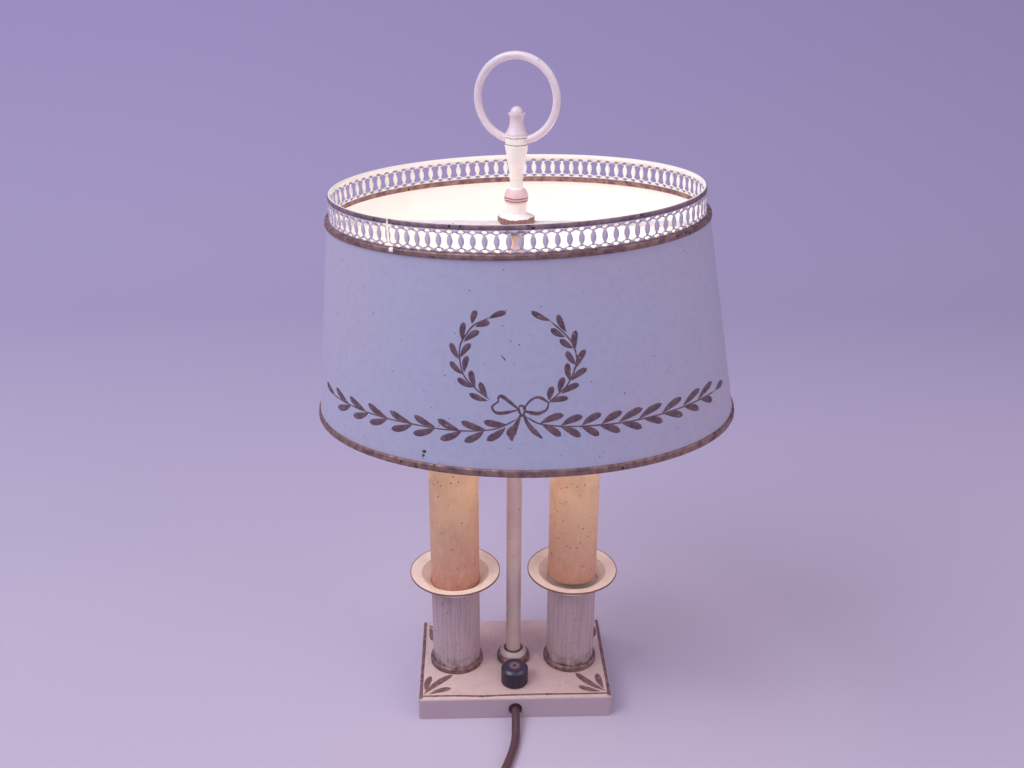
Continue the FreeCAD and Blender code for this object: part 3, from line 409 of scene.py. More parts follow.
bulbLook = dict(colour=rgb(250, 240, 222), glow=rgb(255, 240, 222), neckGlow=rgb(255, 210, 160),
                neck=196 * mm, middle=235 * mm, strength=5.9)

trim = trimPaint("trimGold", trimLook)
rimTrim = trimPaint("rimTrim", dict(trimLook, dark=rgb(116, 92, 106), light=rgb(158, 132, 140)), rimOutside)
upperTrim = trimPaint("upperHemTrim", trimLook, beyondStrip)
lowerTrim = trimPaint("lowerHemTrim", trimLook, hemOutside)
cream = enamel("creamPaint", creamLook, baseSidesPaintedShade)
rodPaint = enamel("rodPaint", rodLook)
steel = metal("dullSteel", rgb(150, 148, 150), rgb(112, 108, 108), 0.42)
brass = metal("agedBrass", rgb(186, 150, 96), rgb(142, 108, 70), 0.36)
blackPlastic = plastic("blackPlastic", rgb(44, 32, 52), rgb(58, 42, 66), 0.34, 0.4)
cordPlastic = plastic("cordPlastic", rgb(92, 58, 66), rgb(76, 46, 58), 0.42, 0.2)
grommetRubber = plastic("grommetRubber", rgb(62, 38, 48), rgb(48, 30, 40), 0.5)
finialPaint = enamel("finialPaint", litFinialLook)
ringPaint = enamel("ringPaint", dict(litFinialLook, colour=rgb(240, 226, 234), secondColour=rgb(226, 210, 222),
                                     mottleColour=rgb(188, 170, 184), rough=0.3, coat=0.6))
tipPaint = enamel("tipPaint", dict(litFinialLook, colour=rgb(240, 222, 230), secondColour=rgb(224, 202, 216),
                                   mottleColour=rgb(180, 156, 172), rough=0.38, coat=0.3))
flangePaint = enamel("flangePaint", litFinialLook, linesAt(flangeLines))
ballPaint = enamel("ballPaint", litFinialLook, linesAt(ballLines, litFinialLook["ballColour"]))
hubPaint = enamel("hubPaint", hubLook, linesAt(hubLines))
knobPaint = knobPlastic("knobPlastic", knobLook)
strapPaint = enamel("strapPaint", dict(shadeLook, colour=shadeLook["insideColour"],
                                       secondColour=rgb(240, 228, 224)))
collarPaint = enamel("ringCollarPaint", litFinialLook, linesAt(collarLines))
shadePaint = enamel("shadePaint", shadeLook, shadeInside)
galleryPaint = enamel("galleryPaint", dict(shadeLook, colour=rgb(204, 196, 222),
                                           secondColour=rgb(196, 184, 212)), shadeInside)
columnPaint = enamel("columnPaint", shadedColumnLook, columnFootShadeAndGrime)
panPaints = {side: enamel("panPaint_" + side, litPanLook,
                          lambda n, colour, across=sign * columnHalfPitch: panRim(n, colour, across))
             for side, sign in (("left", -1), ("right", 1))}
card = candleCardWithGlow("candleCardWithGlow", cardLook)
felt = feltCloth("greenFelt")
glass = litGlass("litGlass", bulbLook)

nodeFinish = {
    cream: ["base_shell"],
    hubPaint: ["rod_hub"],
    knobPaint: ["switch_knob"],
    strapPaint: ["shade_strap"],
    rodPaint: ["rod"],
    columnPaint: ["column_left", "column_right"],
    panPaints["left"]: ["drip_pan_left"],
    panPaints["right"]: ["drip_pan_right"],
    trim: ["rod_collar", "foot_ring_left", "foot_ring_right"],
    lowerTrim: ["lower_hem"],
    upperTrim: ["upper_hem"],
    card: ["candle_cover_left", "candle_cover_right"],
    blackPlastic: ["switch_body", "holder_body_left", "holder_body_right"],
    steel: ["weight_plate", "rod_nuts", "riser_nuts", "riser_left", "riser_right", "switch_nut",
            "switch_bushing", "switch_shaft", "seat_nut", "finial_stud"],
    brass: ["screw_shell_left", "screw_shell_right", "holder_contact_left", "holder_contact_right",
            "bulb_cap_left", "bulb_cap_right", "holder_cap_left", "holder_cap_right", "plug_blades",
            "seat_washer", "lead_washer"],
    felt: ["felt_pad"],
    glass: ["bulb_glass_left", "bulb_glass_right"],
    shadePaint: ["shade_shell"],
    galleryPaint: ["gallery_strip", "gallery_rim"],
    flangePaint: ["finial_flange"],
    ballPaint: ["finial_ball"],
    finialPaint: ["finial_bead", "finial_cone"],
    collarPaint: ["ring_collar"],
    ringPaint: ["carrying_ring"],
    tipPaint: ["finial_tip"],
    grommetRubber: ["cord_grommet"],
    cordPlastic: ["cord_inner", "cord_lead", "cord_coil", "cord_tail", "plug_neck", "plug_body"],
}
for finish, names in nodeFinish.items():
    for name in names:
        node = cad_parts[name]
        node.data.materials.clear()
        node.data.materials.append(finish)
print("finishes on", sum(len(names) for names in nodeFinish.values()), "nodes")


# Surfaces from numpy grids

def gridFaces(rows, columns, closeColumns, first):
    # four-sided faces between neighbours of a grid of points, counted from first
    i = np.arange(rows - 1)[:, None]
    j = np.arange(columns if closeColumns else columns - 1)[None, :]
    here, along = i * columns, (i + 1) * columns
    left, right = j, (j + 1) % columns
    faces = np.stack(np.broadcast_arrays(here + left, along + left, along + right, here + right), -1)
    return faces.reshape(-1, 4) + first


def makePiece(name, grids, finish, body, closeColumns=False):
    # one mesh from grids of points in mm; equal points become one, so that seams and poles are closed
    points, faces, count = [], [], 0
    for grid in grids:
        faces.append(gridFaces(grid.shape[0], grid.shape[1], closeColumns, count))
        points.append(grid.reshape(-1, 3))
        count += len(points[-1])
    mesh = bpy.data.meshes.new(name)
    mesh.from_pydata((np.concatenate(points) * mm).tolist(), [], np.concatenate(faces).tolist())
    work = bmesh.new()
    work.from_mesh(mesh)
    bmesh.ops.remove_doubles(work, verts=work.verts, dist=1e-6)
    work.to_mesh(mesh)
    work.free()
    mesh.shade_smooth()
    mesh.materials.append(finish)
    piece = bpy.data.objects.new(name, mesh)
    bpy.context.scene.collection.objects.link(piece)
    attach(piece, body)
    return piece


def smoothLine(points, samples):
    # a curve through every point: each cubic piece takes its slope from the points beside it
    p = np.asarray(points, float)
    padded = np.vstack([2 * p[0] - p[1], p, 2 * p[-1] - p[-2]])
    t = np.linspace(0, len(p) - 1, samples)
    i = np.minimum(t.astype(int), len(p) - 2)
    u = (t - i)[:, None]
    before, start, end, after = padded[i], padded[i + 1], padded[i + 2], padded[i + 3]
    return 0.5 * (2 * start + (end - before) * u + (2 * before - 5 * start + 4 * end - after) * u ** 2
                  + (3 * start - before - 3 * end + after) * u ** 3)


# a stroke's section: shares of its half width, and mm above the surface, with its edges sunk
stroke = dict(across=np.array([-1, -0.82, -0.4, 0, 0.4, 0.82, 1.0]),
              lift=np.array([-0.12, 0.07, 0.13, 0.15, 0.13, 0.07, -0.12]))


def paintStroke(line, halfWidths, place):
    # a crowned strip of changing width along a flat line, laid on a surface by place(x, y, lift)
    way = np.gradient(line, axis=0)
    way /= np.linalg.norm(way, axis=1)[:, None]
    side = np.stack([-way[:, 1], way[:, 0]], 1)
    spread = halfWidths[:, None] * stroke["across"]
    x = line[:, 0, None] + side[:, 0, None] * spread
    y = line[:, 1, None] + side[:, 1, None] * spread
    return place(x, y, np.broadcast_to(stroke["lift"], x.shape))


leafForm = dict(samples=11, foot=0.85, tip=0.5, bow=0.05, stalk=0.16)


def leaf(x0, y0, x1, y1, width, place, bow=None):
    # widest past its middle: half width goes as (way along)^foot times (way left)^tip
    s = np.linspace(0, 1, leafForm["samples"])
    start, end = np.array([x0, y0]), np.array([x1, y1])
    way = end - start
    sideways = np.array([-way[1], way[0]]) * (leafForm["bow"] if bow is None else bow)
    line = start + way * s[:, None] + sideways * np.sin(math.pi * s)[:, None]
    peak = leafForm["foot"] / (leafForm["foot"] + leafForm["tip"])
    form = (s / peak) ** leafForm["foot"] * ((1 - s) / (1 - peak)) ** leafForm["tip"]
    return paintStroke(line, np.maximum(form * width / 2, (1 - s) * leafForm["stalk"]), place)


stemForm = dict(endShare=0.04, endWidth=0.15)


def stem(points, width, place, samples=60):
    # full width but for a short taper at each end
    s = np.linspace(0, 1, samples)
    ends = np.minimum(1, np.minimum(s, 1 - s) / stemForm["endShare"])
    share = stemForm["endWidth"] + (1 - stemForm["endWidth"]) * ends
    return paintStroke(smoothLine(points, samples), width / 2 * share, place)


# Shade: where a point of its painted skin lies


def shadeTurned(points):
    # from the shade set upright and square to where it stands: turned about the rod, tilted about the strap
    placed = points.reshape(-1, 3) - [0, 0, shade["pivot"]]
    lean = np.array(Matrix.Rotation(-shade["tilt"], 3, "Y"))
    spin = np.array(Matrix.Rotation(shade["turn"], 3, "Z"))
    return (placed @ (lean @ spin).T + [0, 0, shade["pivot"]]).reshape(points.shape)


def halfAxes(height):
    share = height / shade["height"]
    return ((shade["length"] + (shade["topLength"] - shade["length"]) * share) / 2,
            (shade["width"] + (shade["topWidth"] - shade["width"]) * share) / 2)


def ovalWay(long, short, turns):
    # length along an oval from the first turn to each: steps of sqrt((long cos)^2 + (short sin)^2), added up
    steps = np.hypot(long * np.cos(turns), short * np.sin(turns))
    return np.concatenate([[0], np.cumsum((steps[1:] + steps[:-1]) / 2 * np.diff(turns))])


turns = np.linspace(-math.pi, math.pi, 1441)
rimLength = ovalWay(*halfAxes(shade["height"] / 2), turns)
rimLength -= np.interp(0, turns, rimLength)


def onShade(x, height, lift):
    # x is the way round from the front, in mm along the skin at half height, and height is above its foot
    turn = np.interp(x, rimLength, turns)
    long, short = halfAxes(height)
    point = np.stack([long * np.sin(turn), -short * np.cos(turn), shade["foot"] + height], -1)
    narrowing = [(shade["topLength"] - shade["length"]) / 2 / shade["height"],
                 (shade["topWidth"] - shade["width"]) / 2 / shade["height"]]
    upward = -long * narrowing[1] * np.cos(turn) ** 2 - short * narrowing[0] * np.sin(turn) ** 2
    outward = np.stack([short * np.sin(turn), -long * np.cos(turn), upward], -1)
    outward /= np.linalg.norm(outward, axis=-1)[..., None]
    return shadeTurned(point + outward * lift[..., None])


# Painted laurel on the shade; every leaf is foot x, foot height, tip x, tip height

wreath = dict(
    stemWidth=0.95, leafWidth=3.8, tipWidth=3.5,
    stems=[[(-2.6, 45.0), (-9.9, 50.7), (-16.4, 58.3), (-18.3, 67.9), (-17.6, 74.7), (-14.0, 81.0),
            (-9.3, 86.2), (-1.3, 90.0)],
           [(28.1, 43.5), (33.1, 47.8), (38.1, 52.6), (42.4, 60.7), (43.8, 67.4), (42.2, 74.7), (38.2, 80.6),
            (31.1, 87.8)]],
    leaves=[(-3.9, 44.4, -13.6, 47.9), (-11.6, 51.5, -19.8, 56.1), (-17.0, 58.7, -23.6, 65.2),
            (-18.6, 66.8, -23.0, 75.7), (-16.4, 77.3, -15.2, 87.3), (-10.8, 86.8, -8.2, 93.9),
            (-3.9, 45.9, -7.4, 54.7), (-10.2, 51.7, -12.3, 61.2), (-16.0, 59.9, -13.8, 69.0),
            (-17.8, 67.9, -11.9, 75.8), (-15.4, 76.8, -6.9, 82.8), (-8.8, 85.1, -1.0, 87.6),
            (28.3, 43.5, 38.2, 45.1), (34.9, 47.9, 44.3, 52.5), (40.4, 54.9, 48.8, 60.7),
            (43.4, 61.9, 48.7, 71.1), (43.1, 71.3, 44.3, 82.0), (39.1, 81.4, 35.3, 91.1),
            (28.1, 44.4, 30.4, 52.2), (33.5, 48.6, 36.5, 56.9), (39.6, 54.8, 38.8, 64.7),
            (43.1, 63.2, 38.7, 71.1), (42.2, 72.5, 35.6, 77.7), (38.2, 78.9, 31.1, 83.7)],
    tips=[(-1.4, 89.8, 8.1, 93.1), (31.1, 88.1, 21.3, 93.4)])

spray = dict(
    stemWidth=0.95, leafWidth=4.5,
    stems=[[(11.5, 34.5), (3.8, 30.1), (-2.6, 27.8), (-14.5, 26.3), (-30.3, 25.8), (-47.7, 26.2),
            (-62.6, 26.1), (-83.4, 26.3), (-109.3, 26.7), (-114.0, 27.4)],
           [(15.6, 35.7), (22.2, 31.5), (31.6, 29.6), (42.2, 28.6), (53.7, 28.1), (67.0, 27.6), (89.6, 27.7),
            (115.3, 28.0), (131.9, 27.8)]],
    leaves=[(5.5, 31.0, -6.4, 32.3), (-5.8, 27.9, -18.5, 31.4), (-20.1, 26.6, -31.6, 31.4),
            (-33.3, 26.6, -45.3, 31.4), (-47.3, 26.6, -61.0, 31.1), (-62.6, 26.4, -76.6, 31.8),
            (-79.0, 27.0, -92.4, 31.4), (-93.8, 27.1, -107.0, 32.1), (-109.3, 27.4, -121.1, 30.4),
            (4.9, 29.3, -5.2, 21.4), (-6.4, 26.8, -17.1, 19.8), (-18.3, 26.0, -30.4, 19.7),
            (-33.3, 25.6, -46.2, 20.5), (-46.7, 25.8, -60.1, 20.4), (-62.8, 25.7, -75.6, 20.6),
            (-76.4, 25.9, -89.0, 20.6), (-91.3, 26.1, -104.7, 20.6),
            (23.1, 31.6, 35.3, 35.8), (33.7, 29.9, 45.0, 34.3), (44.3, 29.1, 54.8, 34.5),
            (54.7, 28.6, 66.2, 33.9), (64.0, 28.2, 77.8, 33.6), (75.2, 28.1, 89.4, 33.6),
            (89.1, 28.1, 102.7, 33.5), (103.2, 28.5, 117.2, 34.1), (114.7, 28.5, 129.3, 34.0),
            (131.9, 27.8, 143.0, 28.7),
            (24.2, 30.3, 33.1, 23.6), (33.6, 28.8, 43.2, 22.5), (44.1, 28.0, 52.8, 22.1),
            (53.6, 27.7, 64.2, 22.5), (65.6, 27.2, 76.3, 22.3), (78.3, 27.2, 88.9, 23.0),
            (90.4, 27.3, 102.4, 22.9), (104.0, 27.5, 114.8, 22.6), (117.2, 27.6, 127.6, 23.2)])

bow = dict(
    widen=1.25,
    ribbons=[  # a line, and the half widths that its samples take in turn
        ([(12.6, 39.4), (8.1, 43.6), (3.8, 47.0), (1.9, 46.2), (1.9, 43.9)], (0.35, 0.9, 1.0, 0.5, 0.35)),
        ([(2.0, 44.1), (-1.4, 41.4), (-0.9, 38.8), (1.2, 37.5), (5.5, 37.8), (10.4, 39.1), (12.6, 39.4)],
         (0.35, 0.5, 0.6, 0.85, 0.9, 0.4, 0.3)),
        ([(14.6, 39.7), (18.1, 44.3), (21.4, 46.3), (24.5, 45.7), (27.9, 43.0)], (0.35, 0.5, 0.6, 0.85, 0.4)),
        ([(27.9, 43.0), (26.5, 39.3), (22.3, 37.3), (18.7, 37.7), (14.8, 39.0)],
         (0.35, 0.5, 0.95, 1.0, 0.35)),
        ([(13.1, 36.9), (10.7, 31.0), (7.9, 26.2), (8.0, 21.5)], (0.45, 1.1, 2.5, 0.3)),
        ([(14.6, 37.1), (16.4, 31.9), (19.5, 27.2), (23.5, 23.0)], (0.45, 0.95, 1.45, 0.5)),
        ([(12.2, 40.9), (13.5, 41.9), (15.1, 41.1), (15.4, 39.3), (14.2, 35.8)], (0.4, 0.55, 0.6, 0.5, 0.4)),
        ([(12.4, 40.3), (12.6, 38.1), (14.0, 35.6)], (0.4, 0.6, 0.4))])


def ribbon(points, widths, place, samples=26):
    # a stroke whose half width changes evenly from each given one to the next
    s = np.linspace(0, 1, samples)
    halfWidths = np.interp(s, np.linspace(0, 1, len(widths)), widths)
    return paintStroke(smoothLine(points, samples), halfWidths, place)


leafPaint = trimPaint("leafPaint", leafLook)
laurel = [leaf(*four, wreath["leafWidth"], onShade) for four in wreath["leaves"]]
laurel += [leaf(*four, wreath["tipWidth"], onShade) for four in wreath["tips"]]
laurel += [leaf(*four, spray["leafWidth"], onShade) for four in spray["leaves"]]
laurel += [stem(line, wreath["stemWidth"], onShade) for line in wreath["stems"]]
laurel += [stem(line, spray["stemWidth"], onShade, 120) for line in spray["stems"]]
laurel += [ribbon(line, np.array(widths) * bow["widen"], onShade) for line, widths in bow["ribbons"]]
makePiece("laurelPainting", laurel, leafPaint, "shade")
print("laurel:", len(laurel), "strokes")

# small blemishes in the paint: x, height, length, width, turn in degrees
blemishes = [(5.5, 68.4, 4.0, 0.7, -52), (-39.7, 10.9, 2.6, 2.2, 20), (-40.2, 8.4, 2.2, 1.6, 70),
             (14.1, 75.6, 0.9, 0.7, 0), (8.0, 94.2, 0.8, 0.6, 10), (5.7, 85.9, 1.0, 0.6, 30),
             (42.6, 75.8, 1.2, 1.2, 0), (68.2, 44.0, 0.8, 0.7, 45), (-24.9, 32.4, 0.8, 0.6, 0)]


def blemish(x, height, length, width, turn):
    way = np.array([math.cos(math.radians(turn)), math.sin(math.radians(turn))]) * length / 2
    return leaf(x - way[0], height - way[1], x + way[0], height + way[1], width, onShade, 0.0)


chipPaint = trimPaint("chipPaint", dict(leafLook, dark=rgb(70, 52, 62), light=rgb(104, 84, 84),
                                        fleckColour=rgb(150, 128, 92)))
makePiece("paintChips", [blemish(*mark) for mark in blemishes], chipPaint, "shade")

# Base: painted edge lines and corner sprigs

base = dict(width=127.5, depth=85.0, top=16.3, round=2.0)


def onBase(x, y, lift):
    # x and y run over the flat top and on, as lengths along the surface, down its rounded edges:
    # past the flat, angle = length / radius, out = radius * sin(angle), down = radius * (1 - cos(angle))
    flat = np.array([base["width"], base["depth"]]) / 2 - base["round"]
    place = np.stack([x, y], -1)
    angle = np.maximum(np.abs(place) - flat, 0) / base["round"]
    out = np.sign(place) * np.sin(angle)
    down = base["round"] * (1 - np.cos(angle)).sum(-1)
    facing = np.concatenate([out, np.cos(angle).prod(-1)[..., None]], -1)
    facing /= np.linalg.norm(facing, axis=-1)[..., None]
    across = np.clip(place, -flat, flat) + base["round"] * out
    level = np.concatenate([across, (base["top"] - down)[..., None]], -1)
    return level + facing * lift[..., None]


sprig = dict(leaves=[(-60.0, -37.2, -41.5, -18.1, 5.4), (-58.9, -34.6, -56.2, -19.2, 5.0),
                     (-56.6, -37.4, -42.2, -31.8, 4.9)])
edgeLines = dict(
    strokes=[([(-62.0, -41.6), (-62.1, -20), (-62.0, 10), (-62.1, 41.0)], (1.5, 1.3, 1.45, 1.3)),
             ([(62.0, -41.6), (62.1, -24), (62.0, 6), (62.1, 41.0)], (1.45, 1.3, 1.5, 1.35)),
             ([(-60.8, -39.3), (-38, -39.5), (-22, -40.3), (-9, -39.8), (20, -39.4), (44, -39.6),
               (60.8, -39.4)], (1.0, 0.85, 1.1, 0.85, 0.95, 0.85, 1.0))])
corners = [(1, 1), (-1, 1), (1, -1), (-1, -1)]
litSprigPaint = trimPaint("litSprigPaint", litSprigLook)
sprigs = [leaf(right * x0, back * y0, right * x1, back * y1, width, onBase)
          for right, back in corners for x0, y0, x1, y1, width in sprig["leaves"]]
makePiece("baseSprigs", sprigs, litSprigPaint, "base")
lines = [ribbon(line, widths, onBase, 60) for line, widths in edgeLines["strokes"]]
makePiece("baseEdgeLines", lines, trim, "base")
print("base ornament:", len(sprigs) + len(lines), "strokes")

# Gallery: pierced strip and its rim, with the butt seam where their ends meet

galleryTurns = np.linspace(0, 2 * math.pi, 2881)
galleryLong, galleryShort = gallery["length"] / 2, gallery["width"] / 2
galleryWay = ovalWay(galleryLong, galleryShort, galleryTurns)
galleryRound = galleryWay[-1]
period = galleryRound / gallery["count"]


def onGallery(way, height, out=0.0):
    # way is along the oval from the seam; height is as built, before the shade is tilted
    start = np.interp(math.radians(gallery["seam"]) % (2 * math.pi), galleryTurns, galleryWay)
    turn = np.interp((way + start) % galleryRound, galleryWay, galleryTurns)
    outward = np.stack([galleryShort * np.sin(turn), -galleryLong * np.cos(turn)], -1)
    outward /= np.linalg.norm(outward, axis=-1)[..., None]
    oval = np.stack([galleryLong * np.sin(turn), -galleryShort * np.cos(turn)], -1)
    flat = oval + outward * np.asarray(out)[..., None]
    return shadeTurned(np.concatenate([flat, np.broadcast_to(height, turn.shape)[..., None]], -1))


def pierced():
    # upright ovals that overlap their neighbours: a tall hole inside each, between its neighbours' edges,
    # and a small hole above and below each lens where two ovals cross;
    # an oval is (across / half width)^2 + (up / half height)^2 = 1
    half, wide, tall, wire = period / 2, gallery["ringHalfWidth"], gallery["ringHalfHeight"], gallery["wire"]
    cross = tall * math.sqrt(1 - (half / wide) ** 2)
    top = gallery["stripTop"] - gallery["middle"]
    side = np.linspace(-cross, cross, 7)
    crown = np.linspace(half, -half, 9)[1:-1]
    right = np.stack([np.full(7, half), side], 1)
    over = np.stack([crown, tall * np.sqrt(1 - (crown / wide) ** 2)], 1)
    border = np.vstack([right, over, -right, -over])
    waist = period - wide * np.sqrt(1 - (side / tall) ** 2) - wire
    holeRight = np.stack([np.maximum(waist, gallery["leastHole"]), side * gallery["holeShare"]], 1)
    holeOver = over * [gallery["holeShare"], 1.0] - [0, 1.6 * wire]
    hole = np.vstack([holeRight, holeOver, -holeRight, -holeOver])
    hole[:, 0] *= 1 - gallery["endTaper"] * np.clip(np.abs(hole[:, 1]) / tall, 0, 1) ** 3
    tallCell = np.stack([border, hole])
    rise = np.linspace(0, half, 5)
    arcRight = np.stack([half + rise, tall * np.sqrt(1 - ((half - rise) / wide) ** 2)], 1)
    arcLeft = arcRight[::-1] * [-1, 1] + [period, 0]
    cap = np.stack([np.linspace(period, 0, 5)[1:-1], np.full(3, top)], 1)
    smallBorder = np.vstack([arcRight, [[period, top]], cap, [[0, top]], arcLeft[:-1]])
    # a small hole is an oval whose three corners swell: size = 1 / (1 - corner * cos(3 * angle from upright))
    seat = np.array([half, (cross + top) / 2 + gallery["smallRaise"]])
    sweep = np.arctan2(*(smallBorder - seat).T[::-1])
    size = 1 / (1 - gallery["smallCorner"] * np.cos(3 * (sweep - math.pi / 2)))
    smallWide, smallTall = gallery["smallHole"]
    smallHole = seat + np.stack([smallWide * np.cos(sweep), smallTall * np.sin(sweep)], 1) * size[:, None]
    upperCell = np.stack([smallBorder, smallHole])
    lowerCell = upperCell[:, ::-1] * [1, -1]
    return tallCell, upperCell, lowerCell


tallCell, upperCell, lowerCell = pierced()
cells = []
for k in range(gallery["count"]):
    shift = (k + 0.5) * period
    for cell in (tallCell, upperCell, lowerCell):
        if k == gallery["count"] - 1 and cell is not tallCell:
            continue
        way = np.clip(cell[..., 0] + shift, gallery["seamGap"] / 2, galleryRound - gallery["seamGap"] / 2)
        cells.append(onGallery(way, gallery["middle"] + cell[..., 1]))
strip = makePiece("piercedGallery", cells, galleryPaint, "shade", closeColumns=True)
wall = strip.modifiers.new("wall", "SOLIDIFY")
wall.thickness = gallery["skin"] * mm
wall.offset = -1
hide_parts("gallery_strip")

# the rim's section: mm outside the strip, and mm above its top
rimSection = np.array([(0.5, 0.1), (0.5, 2.2), (0.3, 2.55), (-0.1, 2.6), (-0.85, 2.6), (-1.1, 2.4),
                       (-1.2, 2.1), (-1.2, 0.1), (-0.85, 0.0), (0.2, 0.0)])
rimWay = np.linspace(gallery["seamGap"] / 2, galleryRound - gallery["seamGap"] / 2, 260)
rimWay = np.concatenate([rimWay[:1], rimWay, rimWay[-1:]])
closing = np.ones(len(rimWay))
closing[[0, -1]] = 0
centre = rimSection.mean(0)
section = centre + (rimSection - centre)[None] * closing[:, None, None]
rimWays = np.broadcast_to(rimWay[:, None], section.shape[:2])
rim = onGallery(rimWays, gallery["stripTop"] + section[..., 1], section[..., 0])
rimPiece = makePiece("galleryRim", [rim], rimTrim, "shade", closeColumns=True)
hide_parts("gallery_rim")
print("gallery:", gallery["count"], "ovals")

# Mains cord, coil and plug

cord = dict(radius=2.7, pitch=6.0, firstRadius=39.0, halfTurns=7, turnPoints=12, upper=8.7,
            exit=(0, -43.3, 7.5), coilStart=(-17, -150), length=1.66,
            lead=[(0, -43.3, 7.5), (0, -50, 7.3), (-0.2, -57.5, 4.6), (-0.6, -66, 2.7), (-2.8, -76.2, 2.7),
                  (-6.4, -87.6, 2.7), (-10.9, -99.4, 2.7), (-14.4, -112.4, 2.7), (-16.5, -124.8, 2.7),
                  (-17, -135.2, 2.7), (-17, -144.6, 2.7)],
            tail=[(-17, -155.4, 8.7), (-17, -168, 8.7), (-15.5, -181, 8.7), (-12.2, -193, 8.7)])


def coilPoints():
    # half turns that shrink to the middle on the table, one that climbs, and half turns that grow on top;
    # the points stand just outside each half turn, so that the spline between them has its radius
    halfStep = math.pi / cord["turnPoints"]
    angles = np.arange(cord["turnPoints"] // 2) * 2 * halfStep + halfStep
    place, side, radius, points = np.array(cord["coilStart"], float), -1, cord["firstRadius"], []
    growth = [-1] * cord["halfTurns"] + [1] * (cord["halfTurns"] + 2)
    for number, change in enumerate(growth):
        reach = radius / math.cos(halfStep)
        x = place[0] + side * (radius - reach * np.cos(angles))
        y = place[1] + side * reach * np.sin(angles)
        share = np.clip(number - cord["halfTurns"] + angles / math.pi, 0, 1)
        z = cord["radius"] + (cord["upper"] - cord["radius"]) * share ** 2 * (3 - 2 * share)
        points.append(np.stack([x, y, z], 1))
        place = place + [2 * side * radius, 0]
        side, radius = -side, radius + change * cord["pitch"] / 2
    return np.vstack(points)


route = np.vstack([cord["lead"], coilPoints(), cord["tail"]]) * mm
line = bpy.data.curves.new("mainsCord", "CURVE")
line.dimensions = "3D"
line.bevel_depth = cord["radius"] * mm
line.bevel_resolution = 3
line.resolution_u = 5
line.use_fill_caps = True
spline = line.splines.new("NURBS")
spline.points.add(len(route) - 1)
spline.points.foreach_set("co", np.column_stack([route, np.ones(len(route))]).ravel())
spline.order_u = 3
spline.use_endpoint_u = True
line.materials.append(cordPlastic)
mainsCord = bpy.data.objects.new("mainsCord", line)
bpy.context.scene.collection.objects.link(mainsCord)
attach(mainsCord, "base")
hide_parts("cord_inner", "cord_lead", "cord_coil", "cord_tail")

plug = dict(neck=11.0, length=26.0, width=24.0, thickness=17.4, neckLip=3.3, swellStart=4.0, squareness=1.6,
            rings=34, sides=40, ribs=5, ribDepth=0.45, ribStart=3.0, ribStop=4.0, flatRibShare=0.3,
            endRound=2.0, endDepth=0.35)


def plugSurface():
    # sections along the plug's axis: round at the cord, squarer and wider to the blades; each is the curve
    # |across / wide|^n + |up / deep|^n = 1, with wide and deep its half sizes, and ribs ripple its sides
    along = np.concatenate([[0], np.linspace(0, 1, plug["rings"]), [1, 1]])
    total = plug["neck"] + plug["length"]
    reach = along * total
    share = np.clip((reach - plug["swellStart"]) / (plug["neck"] + plug["swellStart"]), 0, 1)
    swell = share ** 2 * (3 - 2 * share)
    ribTurn = (reach - plug["neck"]) / plug["length"] * plug["ribs"] * 2 * math.pi
    ripple = plug["ribDepth"] * np.sin(ribTurn) ** 2
    ripple *= (reach > plug["neck"] + plug["ribStart"]) & (reach < total - plug["ribStop"])
    nearEnd = np.clip((reach - total + plug["endRound"]) / plug["endRound"], 0, 1)
    softened = np.sqrt(1 - nearEnd ** 2 * plug["endDepth"])
    wide = (plug["neckLip"] + (plug["width"] / 2 - plug["neckLip"]) * swell - ripple) * softened
    deep = plug["neckLip"] + (plug["thickness"] / 2 - plug["neckLip"]) * swell - ripple * plug["flatRibShare"]
    deep *= softened
    wide[[0, -1]], deep[[0, -1]] = 0, 0
    power = 2 + plug["squareness"] * swell
    angle = np.linspace(0, 2 * math.pi, plug["sides"], endpoint=False)
    c, s = np.cos(angle)[None], np.sin(angle)[None]
    x = np.sign(c) * np.abs(c) ** (2 / power[:, None]) * wide[:, None]
    z = np.sign(s) * np.abs(s) ** (2 / power[:, None]) * deep[:, None]
    heading = np.array(cord["tail"][-1][:2]) - np.array(cord["tail"][-2][:2])
    heading /= np.linalg.norm(heading)
    across = np.array([-heading[1], heading[0]])
    flat = np.array(cord["tail"][-1][:2]) + reach[:, None, None] * heading + x[..., None] * across
    return np.concatenate([flat, (cord["tail"][-1][2] + z)[..., None]], -1)


plugPiece = makePiece("plugMoulding", [plugSurface()], cordPlastic, "base", closeColumns=True)
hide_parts("plug_neck", "plug_body")
print("cord:", len(route), "points")

# Floor, light and camera

stage = dict(floor=rgb(190, 178, 202), far=rgb(164, 152, 194), farFrom=0.1, farTo=1.2, size=3.0, wallAt=0.75,
             bend=0.5, steps=24)


def stagePiece():
    # a floor that bends up into a wall behind the lamp
    bend = np.linspace(0, math.pi / 2, stage["steps"])
    wall = stage["wallAt"] + stage["bend"]
    y = np.concatenate([[-stage["size"]], stage["wallAt"] + stage["bend"] * np.sin(bend), [wall]])
    z = np.concatenate([[0], stage["bend"] * (1 - np.cos(bend)), [stage["size"]]])
    x = np.linspace(-stage["size"], stage["size"], 3)
    points = np.stack([np.broadcast_to(x[:, None], (3, len(y))), np.broadcast_to(y, (3, len(y))),
                       np.broadcast_to(z, (3, len(z)))], -1)
    mesh = bpy.data.meshes.new("studioFloor")
    mesh.from_pydata(points.reshape(-1, 3).tolist(), [], gridFaces(3, len(y), False, 0).tolist())
    mesh.shade_smooth()
    n = Nodes("studioPaper")
    tone = n.mix(n.ramp(n.axis("y"), stage["farFrom"], stage["farTo"]), stage["floor"], stage["far"])
    mesh.materials.append(n.finish(tone, 0.9))
    piece = bpy.data.objects.new("studioFloor", mesh)
    bpy.context.scene.collection.objects.link(piece)


stagePiece()

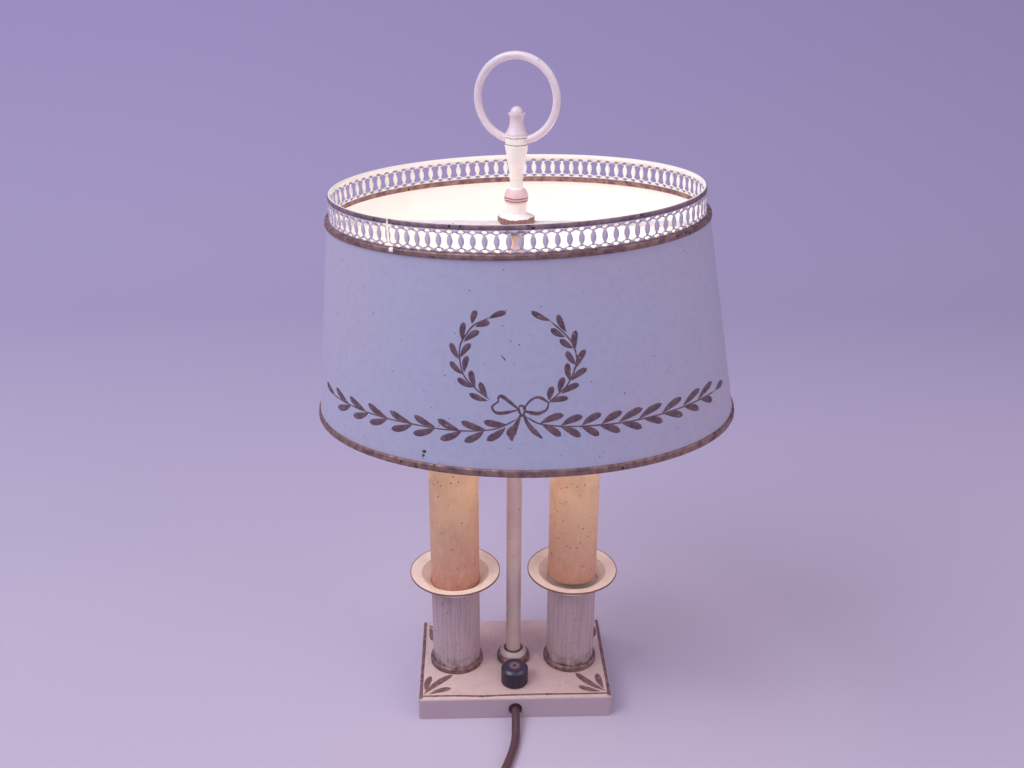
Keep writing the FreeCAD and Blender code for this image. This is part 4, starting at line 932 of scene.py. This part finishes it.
light = dict(worldColour=(0.94, 0.93, 1.0, 1), worldStrength=0.5, aim=(0, 0, 0.2),
             lamps=[("keyLamp", (-1.2, -0.5, 2.0), 1.4, 34, (0.93, 0.95, 1.0)),
                    ("fillLamp", (1.5, -0.9, 1.2), 1.2, 8, (1.0, 0.84, 0.9))])
world = bpy.data.worlds.new("studio")
bpy.context.scene.world = world
world.use_nodes = True
world.node_tree.nodes["Background"].inputs["Color"].default_value = light["worldColour"]
world.node_tree.nodes["Background"].inputs["Strength"].default_value = light["worldStrength"]
for name, place, size, power, colour in light["lamps"]:
    lamp = bpy.data.lights.new(name, "AREA")
    lamp.size, lamp.energy, lamp.color = size, power, colour
    holder = bpy.data.objects.new(name, lamp)
    holder.location = place
    holder.rotation_euler = (Vector(light["aim"]) - Vector(place)).to_track_quat("-Z", "Y").to_euler()
    bpy.context.scene.collection.objects.link(holder)

# place and target in metres, focal length in pixels of a frame so many pixels wide, sensor in mm
camera = dict(place=(-0.02359, -0.60352, 0.48759), target=(-0.00183, 0.00007, 0.22245), pixels=1072.58,
              frame=1024, sensor=36, roll=math.radians(0.31))
eye = bpy.data.cameras.new("photoCamera")
eye.sensor_width = camera["sensor"]
eye.lens = eye.sensor_width * camera["pixels"] / camera["frame"]
eye.clip_start, eye.clip_end = 0.01, 20
ahead = (Vector(camera["target"]) - Vector(camera["place"])).normalized()
right = ahead.cross(Vector((0, 0, 1))).normalized()
up = right.cross(ahead)
rolledRight = right * math.cos(camera["roll"]) + up * math.sin(camera["roll"])
rolledUp = up * math.cos(camera["roll"]) - right * math.sin(camera["roll"])
photoCamera = bpy.data.objects.new("photoCamera", eye)
photoCamera.matrix_world = Matrix((
    (rolledRight.x, rolledUp.x, -ahead.x, camera["place"][0]),
    (rolledRight.y, rolledUp.y, -ahead.y, camera["place"][1]),
    (rolledRight.z, rolledUp.z, -ahead.z, camera["place"][2]), (0, 0, 0, 1)))
bpy.context.scene.collection.objects.link(photoCamera)
bpy.context.scene.camera = photoCamera
bpy.context.scene.view_settings.view_transform = "Standard"
